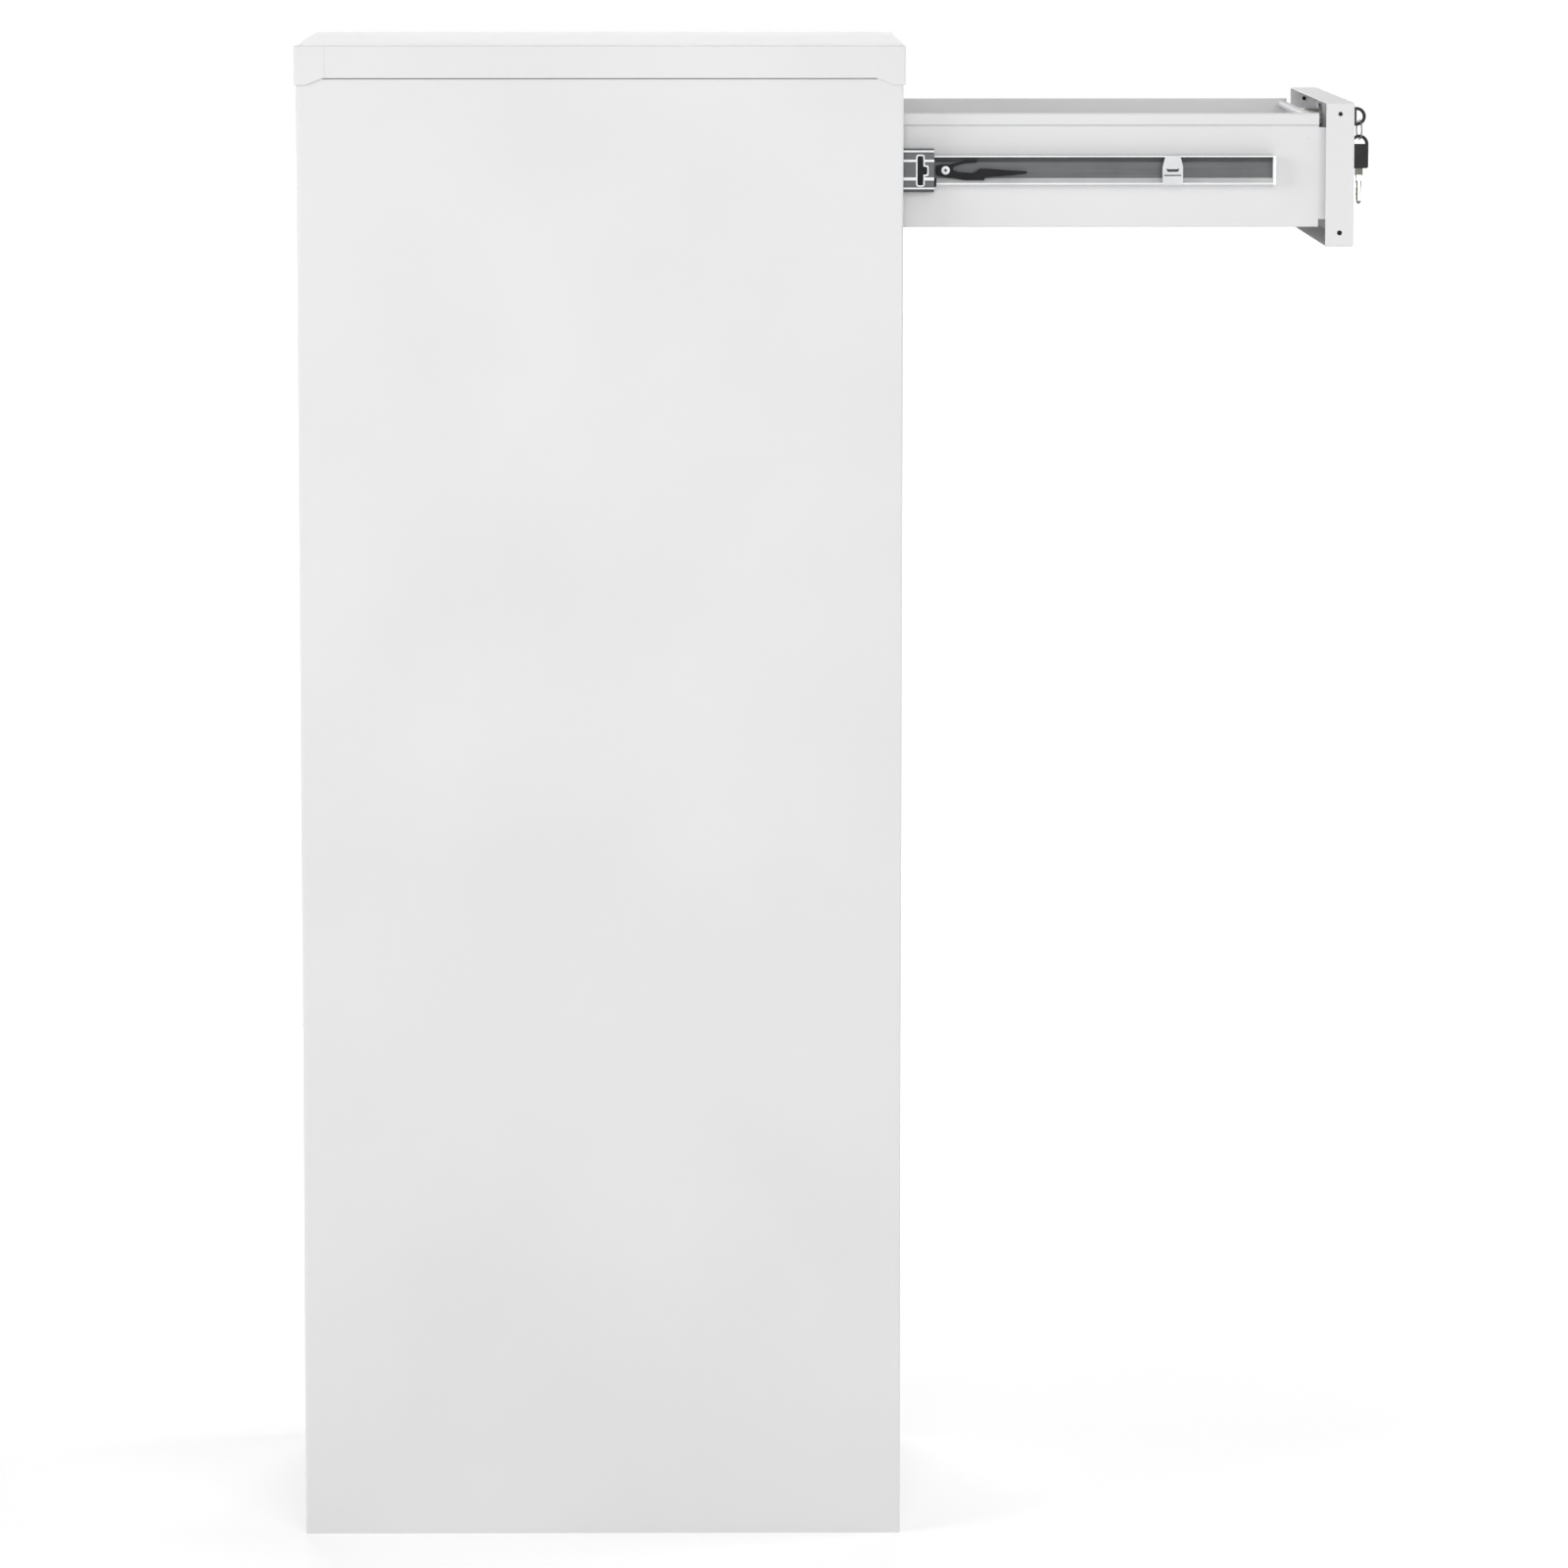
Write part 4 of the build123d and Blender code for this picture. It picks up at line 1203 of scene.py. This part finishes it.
@dataclass
class RecessedPull(DrawerPart):
    """One drawer's moulded pull with its label holder, in millimetres."""

    cup: Pair = (104.0, 34.0)
    wall: float = 2.0
    cup_margin: float = 9.0
    lip: float = 8.0
    label: Pair = (78.0, 24.0)
    label_margin: float = 7.0
    label_seat: float = 2.0
    card_gap: float = 0.6
    proud: float = 1.4

    def build(self) -> None:
        """Bezel plate with its openings, the cup behind it, the lip, the card and its window."""
        low, high = corners(self.node("pull"))
        face, skin, back = low[1], low[1] + self.proud, high[1]
        half, rise = self.cup[0] / 2, self.cup[1] / 2
        centre = low[2] + self.cup_margin + rise
        label = np.array(self.label) / 2
        middle = (0.0, high[2] - self.label_margin - label[1])
        lip = centre + rise - self.lip
        bezel = box_outline((low[0], low[2]), (high[0], high[2]), 6.0, 8)
        mouth = box_outline((-half, centre - rise), (half, lip), 4.0, 6)
        window = centred_box(middle, label, 1.5, 4)
        piece = self.piece("handle", PULL, "pull_plastic", "pull", sharp=40.0)
        piece.add(plate([bezel, mouth, window], Axis.Y, face, skin, 0.55))
        piece.add(extruded(centred_box(middle, label + self.label_seat, 2.0, 4), Axis.Y, skin - 0.35, skin))

        def ring(out: float, place: float, radius: float) -> np.ndarray:
            """The cup's outline moved out, at one depth."""
            return lifted(centred_box((0, centre), (half + out, rise + out), radius, 6), Axis.Y, place)

        floor = back - self.wall
        piece.add(rings([ring(self.wall, back, 4), ring(self.wall, skin - 0.2, 4), ring(0, skin - 0.2, 3),
                         ring(0, floor - 3, 3), ring(-1.2, floor - 0.9, 3), ring(-3.5, floor, 3)]))
        curl = [(skin + 9, lip + 1.6), (skin + 4, lip), (skin - 0.3, lip), (skin - 0.3, centre + rise)]
        piece.add(extruded(sheet_section(curl, 1.4, [2.0, 0.5]), Axis.X, -half, half)).make()
        pane = centred_box(middle, label - self.card_gap, 0.4, 3)
        for part, finish, front, rear in (("card", CARD, 0.62, 0.36), ("window", WINDOW, 1.0, 0.7)):
            sheet = self.piece("label_" + part, finish, "pull_plastic")
            sheet.add(plate([pane], Axis.Y, skin - front, skin - rear, 0.05)).make()


@dataclass
class CamLock:
    """The lock, the key in it, the ring and the spare key, in millimetres."""

    collar: float = 11.0
    collar_height: float = 2.0
    mouth: float = 6.9
    barrel: float = 9.0
    thread: float = 0.5
    nut_bore: float = 9.1
    plug: float = 6.5
    keyway: Pair = (1.4, 3.5)
    keyway_depth: float = 22.0
    head_width: float = 20.0
    head_body: float = 26.0
    head_cut: float = 1.4
    loop: float = 10.0
    loop_wire: float = 3.4
    head_half: float = 2.3
    blade: float = 6.4
    shoulder: float = 8.4
    shoulder_length: float = 7.5
    tang: float = 6.0
    blade_half: float = 1.1
    ring_turn: float = math.radians(10)

    def head_outline(self) -> list[np.ndarray]:
        """A key head's outline and its open loop, in a frame with the shoulder at the origin.

        The body is a square plate with cut corners at its foot. The loop above
        it is a half circle, and its opening a smaller one with a flat foot.

        Returns:
            The outline and the opening.
        """
        angle = np.linspace(0, math.pi, 17)
        arch = np.stack([np.cos(angle), np.sin(angle)], axis=1)
        half, cut, rise = self.head_width / 2, self.head_cut, np.array([0, self.head_body])
        foot = [(-half, cut), (-half + cut, 0), (half - cut, 0), (half, cut)]
        return [np.vstack([foot, self.loop * arch + rise]), (self.loop - self.loop_wire) * arch + rise]

    def blade_outline(self, length: float) -> np.ndarray:
        """A blade that stands on its rounded tip: cut edge, shoulder, and the tang inside the head.

        The cut edge's place is the half width less one of a set of fixed steps.

        Args:
            length: The blade's length with its tang.

        Returns:
            The outline.
        """
        half, wide = self.blade / 2, self.shoulder / 2
        foot = length - self.tang
        low = foot - self.shoulder_length
        steps = np.array([0.0, 0.4, 0.1, 0.8, 0.8, 0.3, 0.6, 0.1, 0.7, 0.1])
        teeth = np.stack([half - steps, np.linspace(low - 1.5, 5.0, len(steps))], axis=1)
        tip = rounded([(half, 4), (half - 1.9, 0), (-half + 1.9, 0), (-half, 4)], [1.0, 1.6, 1.6, 1.0], 4)
        left = [(-half, low), (-wide, low), (-wide, foot), (-half, foot), (-half, length)]
        return np.vstack([left, [(-x, y) for x, y in reversed(left)], teeth, tip])

    def build(self) -> None:
        """Build the lock and both keys where the CAD nodes are."""
        low, high = corners("lock_housing")
        x, z = (low[0] + high[0]) / 2, (low[2] + high[2]) / 2
        front, long = low[1], high[1] - low[1]
        barrel, collar, mouth = self.barrel, self.collar, self.mouth
        threads = [(barrel - self.thread * (index % 2), place)
                   for index, place in enumerate(np.linspace(3.5, long - 1, 31))]
        profile = [(mouth, 1.4), (mouth, 0.7), (7.6, 0.1), (9.6, 0.0), (10.6, 0.5), (collar, 1.4),
                   (collar, self.collar_height), (barrel, self.collar_height), *threads,
                   (barrel - 0.8, long), (mouth, long)]
        housing = Piece("lock_barrel", "drawer_1", NICKEL, "lock_nickel", ("lock_housing",))
        housing.add(turned(profile, (x, front, z), Axis.Y, 48)).make()
        low, high = corners("lock_nut")
        angle = np.radians(np.arange(6) * 60 + 30)
        hexagon = np.stack([np.cos(angle), np.sin(angle)], axis=1) * (high[2] - low[2]) / math.sqrt(3)
        nut = Piece("lock_clip_nut", "drawer_1", ZINC, "lock_nickel", ("lock_nut",))
        outlines = [outline + [x, z] for outline in (hexagon, circle(24, self.nut_bore))]
        nut.add(plate(outlines, Axis.Y, low[1], high[1], 0.4)).make()
        low, high = corners("lock_plug")
        face = [(self.plug - 0.6, 0.0), (self.plug - 0.1, 0.4), (self.plug, 1.0),
                (self.plug, high[1] - low[1])]
        plug = Piece("lock_cylinder", "lock_key", BRASS, "key_nickel", ("lock_plug",))
        plug.add(turned(face, (x, low[1], z), Axis.Y, 40))
        slot = centred_box((x, z), self.keyway, 0.6, 4)
        plug.make([extruded(slot, Axis.Y, low[1] - 1, low[1] + self.keyway_depth)])
        low, high = corners("lock_cam")
        cam = Piece("lock_tongue", "lock_key", ZINC, "lock_nickel", ("lock_cam",))
        outline = box_outline((low[0], low[2]), (high[0], high[2]), 5.9, 8)
        cam.add(plate([outline], Axis.Y, low[1], high[1], 0.4)).make()
        self.keys(x, z)

    def keys(self, x: float, z: float) -> None:
        """The key in the lock, the ring and the spare key that hangs from it.

        Args:
            x: The lock's x.
            z: The lock's z.
        """
        low, high = corners("key_blade")
        lying = np.array([[0.0, 1.0], [-1.0, 0.0]])
        feet = [(corners("key_head")[1][1], z), (high[1], z)]
        self.key("", "lock_key", x, lying, feet, high[1] - low[1])
        low, high = corners("key_ring")
        wire = high[1] - low[1]
        radius = (high[2] - low[2]) / 2 - wire / 2
        section = circle(12, wire / 2) + [radius, 0]
        points, faces = turned(section, (0, 0, 0), Axis.Y, 64, closed=True)
        aside, ahead = math.sin(self.ring_turn), math.cos(self.ring_turn)
        turn = np.array([[ahead, aside, 0], [-aside, ahead, 0], [0, 0, 1]])
        ring = Piece("split_ring", "lock_key", STEEL_WIRE, "key_nickel", ("key_ring",), sharp=80.0)
        ring.add((points @ turn + (low + high) / 2, faces)).make()
        low, high = corners("spare_key_head")
        middle, shoulder = (low[1] + high[1]) / 2, low[2]
        low, high = corners("spare_key_blade")
        feet = [(middle, shoulder), (middle, low[2])]
        self.key("spare_", "spare_key", x, np.eye(2), feet, high[2] - low[2])
        flats = Piece("spare_key_flats", "spare_key", BRASS, "key_nickel")
        flat = rounded([(-1.5, 3.5), (-0.2, 2.4), (0.9, 3.5), (1.1, 24), (2.6, 25.5), (2.6, 31), (-2.9, 31),
                        (-2.9, 25.5), (-1.7, 24)], [0.8, 0.8, 0.8, 0.6, 0.3, 0.3, 0.3, 0.3, 0.6], 4)
        half = self.blade_half + 0.2
        flats.add(plate([flat + [middle, low[2]]], Axis.X, x - half, x + half, 0.15)).make()

    def key(self, kind: str, body: str, x: float, turn: np.ndarray, feet: list[Pair],
            length: float) -> None:
        """A key's head and its blade.

        Args:
            kind: What stands before the names of its pieces and nodes.
            body: The body that it moves with.
            x: The middle of its thickness.
            turn: How its outlines are turned, 2 by 2.
            feet: Where the head's shoulder and the blade's tip are, in y and z.
            length: The blade's length.
        """
        head = [outline @ turn + feet[0] for outline in self.head_outline()]
        bow = Piece(kind + "key_bow", body, KEY_BLACK, "key_plastic", (kind + "key_head",), sharp=45.0)
        bow.add(plate(head, Axis.X, x - self.head_half, x + self.head_half, 0.7)).make()
        strip = self.blade_outline(length) @ turn + feet[1]
        stem = Piece(kind + "key_stem", body, MILLED, "key_nickel", (kind + "key_blade",))
        stem.add(plate([strip], Axis.X, x - self.blade_half, x + self.blade_half, 0.2)).make()


@dataclass
class Studio:
    """Floor, lamps and camera, in metres."""

    floor_half: float = 30.0
    floor_shade: str = "#DADADA"
    floor_lift: Pair = (0.34, 0.85)
    floor_reach: Pair = (0.8, 2.6)
    sky: float = 0.41
    softbox: float = 2.2
    aim: Point = (0.0, -0.15, 0.85)
    camera_place: Point = (-7.23, -0.075, 1.762)
    pitch: float = 6.64
    yaw: float = 0.51
    sensor: float = 36.0
    focal: float = 4.396
    shift: Pair = (0.031, -0.10)
    lamps: tuple[tuple[str, Point, float], ...] = (
        ("left", (-3.1, -0.8, 1.8), 40), ("front", (0.7, -4.2, 2.4), 61),
        ("right", (3.2, 0.2, 2.4), 56), ("back", (-1.8, 3.1, 2.1), 54))

    def white(self, tree: Tree) -> Socket:
        """One where a ray comes straight from the camera, a mirror or glass, else zero.

        Args:
            tree: The node tree.

        Returns:
            The number.
        """
        path = add_node(tree, "ShaderNodeLightPath")
        first = add_node(tree, "ShaderNodeMath", {"operation": "MAXIMUM"},
                         links={0: path.outputs["Is Camera Ray"], 1: path.outputs["Is Glossy Ray"]})
        return add_node(tree, "ShaderNodeMath", {"operation": "MAXIMUM"},
                        links={0: first.outputs[0], 1: path.outputs["Is Transmission Ray"]}).outputs[0]

    def floor(self) -> None:
        """White floor whose own light lifts it to white for the eye, and keeps the shadow."""
        half = self.floor_half
        mesh = bpy.data.meshes.new("studio_floor")
        mesh.from_pydata([(-half, -half, 0), (half, -half, 0), (half, half, 0), (-half, half, 0)], [],
                         [(0, 1, 2, 3)])
        material = bpy.data.materials.new("studio_white_floor")
        material.use_nodes = True
        tree = material.node_tree
        tree.nodes.clear()
        matt = add_node(tree, "ShaderNodeBsdfDiffuse", values={"Color": colour(self.floor_shade)})
        place = add_node(tree, "ShaderNodeTexCoord").outputs["Object"]
        reach = add_node(tree, "ShaderNodeVectorMath", {"operation": "LENGTH"}, links={0: place})
        limits = dict(zip(("From Min", "From Max", "To Min", "To Max"), self.floor_reach + self.floor_lift))
        level = add_node(tree, "ShaderNodeMapRange", {"interpolation_type": "SMOOTHSTEP"}, limits,
                         {"Value": reach.outputs["Value"]})
        lift = add_node(tree, "ShaderNodeMath", {"operation": "MULTIPLY"},
                        links={0: self.white(tree), 1: level.outputs["Result"]})
        glow = add_node(tree, "ShaderNodeEmission", links={"Strength": lift.outputs[0]})
        both = add_node(tree, "ShaderNodeAddShader", links={0: matt.outputs[0], 1: glow.outputs[0]})
        add_node(tree, "ShaderNodeOutputMaterial", links={"Surface": both.outputs[0]})
        mesh.materials.append(material)
        made = linked("studio_floor", mesh)

    def sky_light(self) -> None:
        """Even white surroundings: full white to the eye, a plain level as light."""
        world = bpy.data.worlds.new("studio_surroundings")
        world.use_nodes = True
        tree = world.node_tree
        tree.nodes.clear()
        level = add_node(tree, "ShaderNodeMapRange", values={"To Min": self.sky, "To Max": 1.0},
                         links={"Value": self.white(tree)})
        back = add_node(tree, "ShaderNodeBackground", values={"Color": colour("#FFFFFF")},
                        links={"Strength": level.outputs["Result"]})
        add_node(tree, "ShaderNodeOutputWorld", links={"Surface": back.outputs[0]})
        bpy.context.scene.world = world

    def point(self, made: bpy.types.Object, place: Point, ahead: Vector) -> None:
        """Put a lamp or the camera in its place and turn it.

        Args:
            made: The lamp or camera.
            place: Where it stands.
            ahead: The direction that it looks in.
        """
        made.location = place
        made.rotation_mode = "QUATERNION"
        made.rotation_quaternion = ahead.to_track_quat("-Z", "Y")

    def lamp(self, name: str, place: Point, power: float) -> None:
        """A square softbox aimed at the cabinet's middle.

        Args:
            name: Its name.
            place: Where it stands.
            power: Its power in watts.
        """
        data = bpy.data.lights.new(name, "AREA")
        data.shape, data.size, data.size_y, data.energy = "RECTANGLE", self.softbox, self.softbox, power
        self.point(linked(name, data), place, Vector(self.aim) - Vector(place))

    def camera(self) -> None:
        """Camera on the cabinet's left, far enough to show it as the photograph does."""
        data = bpy.data.cameras.new("camera")
        data.sensor_width, data.lens = self.sensor, self.sensor * self.focal
        data.shift_x, data.shift_y = self.shift
        data.clip_end = 200.0
        down, aside = math.radians(self.pitch), math.radians(self.yaw)
        made = linked("camera", data)
        self.point(made, self.camera_place, Vector((math.cos(down) * math.cos(aside),
                                                    -math.cos(down) * math.sin(aside), -math.sin(down))))
        bpy.context.scene.camera = made

    def build(self) -> None:
        """Set up the stage, and keep the plain view transform."""
        self.floor()
        self.sky_light()
        for side, place, power in self.lamps:
            self.lamp("softbox_" + side, place, power)
        self.camera()
        bpy.context.scene.view_settings.view_transform = "Standard"


def main() -> None:
    """Build the cabinet's looks in order, then the studio."""
    logging.basicConfig(level=logging.INFO, format="%(message)s")
    Shell().build()
    members = Piece("cabinet_members", "cabinet", ZINC, "zinc_slide", ("outer_slides",))
    for number in range(1, 6):
        members.add_both(Slides(number).build())
        DrawerBox(number).build()
        DrawerFront(number).build()
        RecessedPull(number).build()
    members.make()
    CamLock().build()
    Studio().build()


if __name__ == "__main__":
    main()
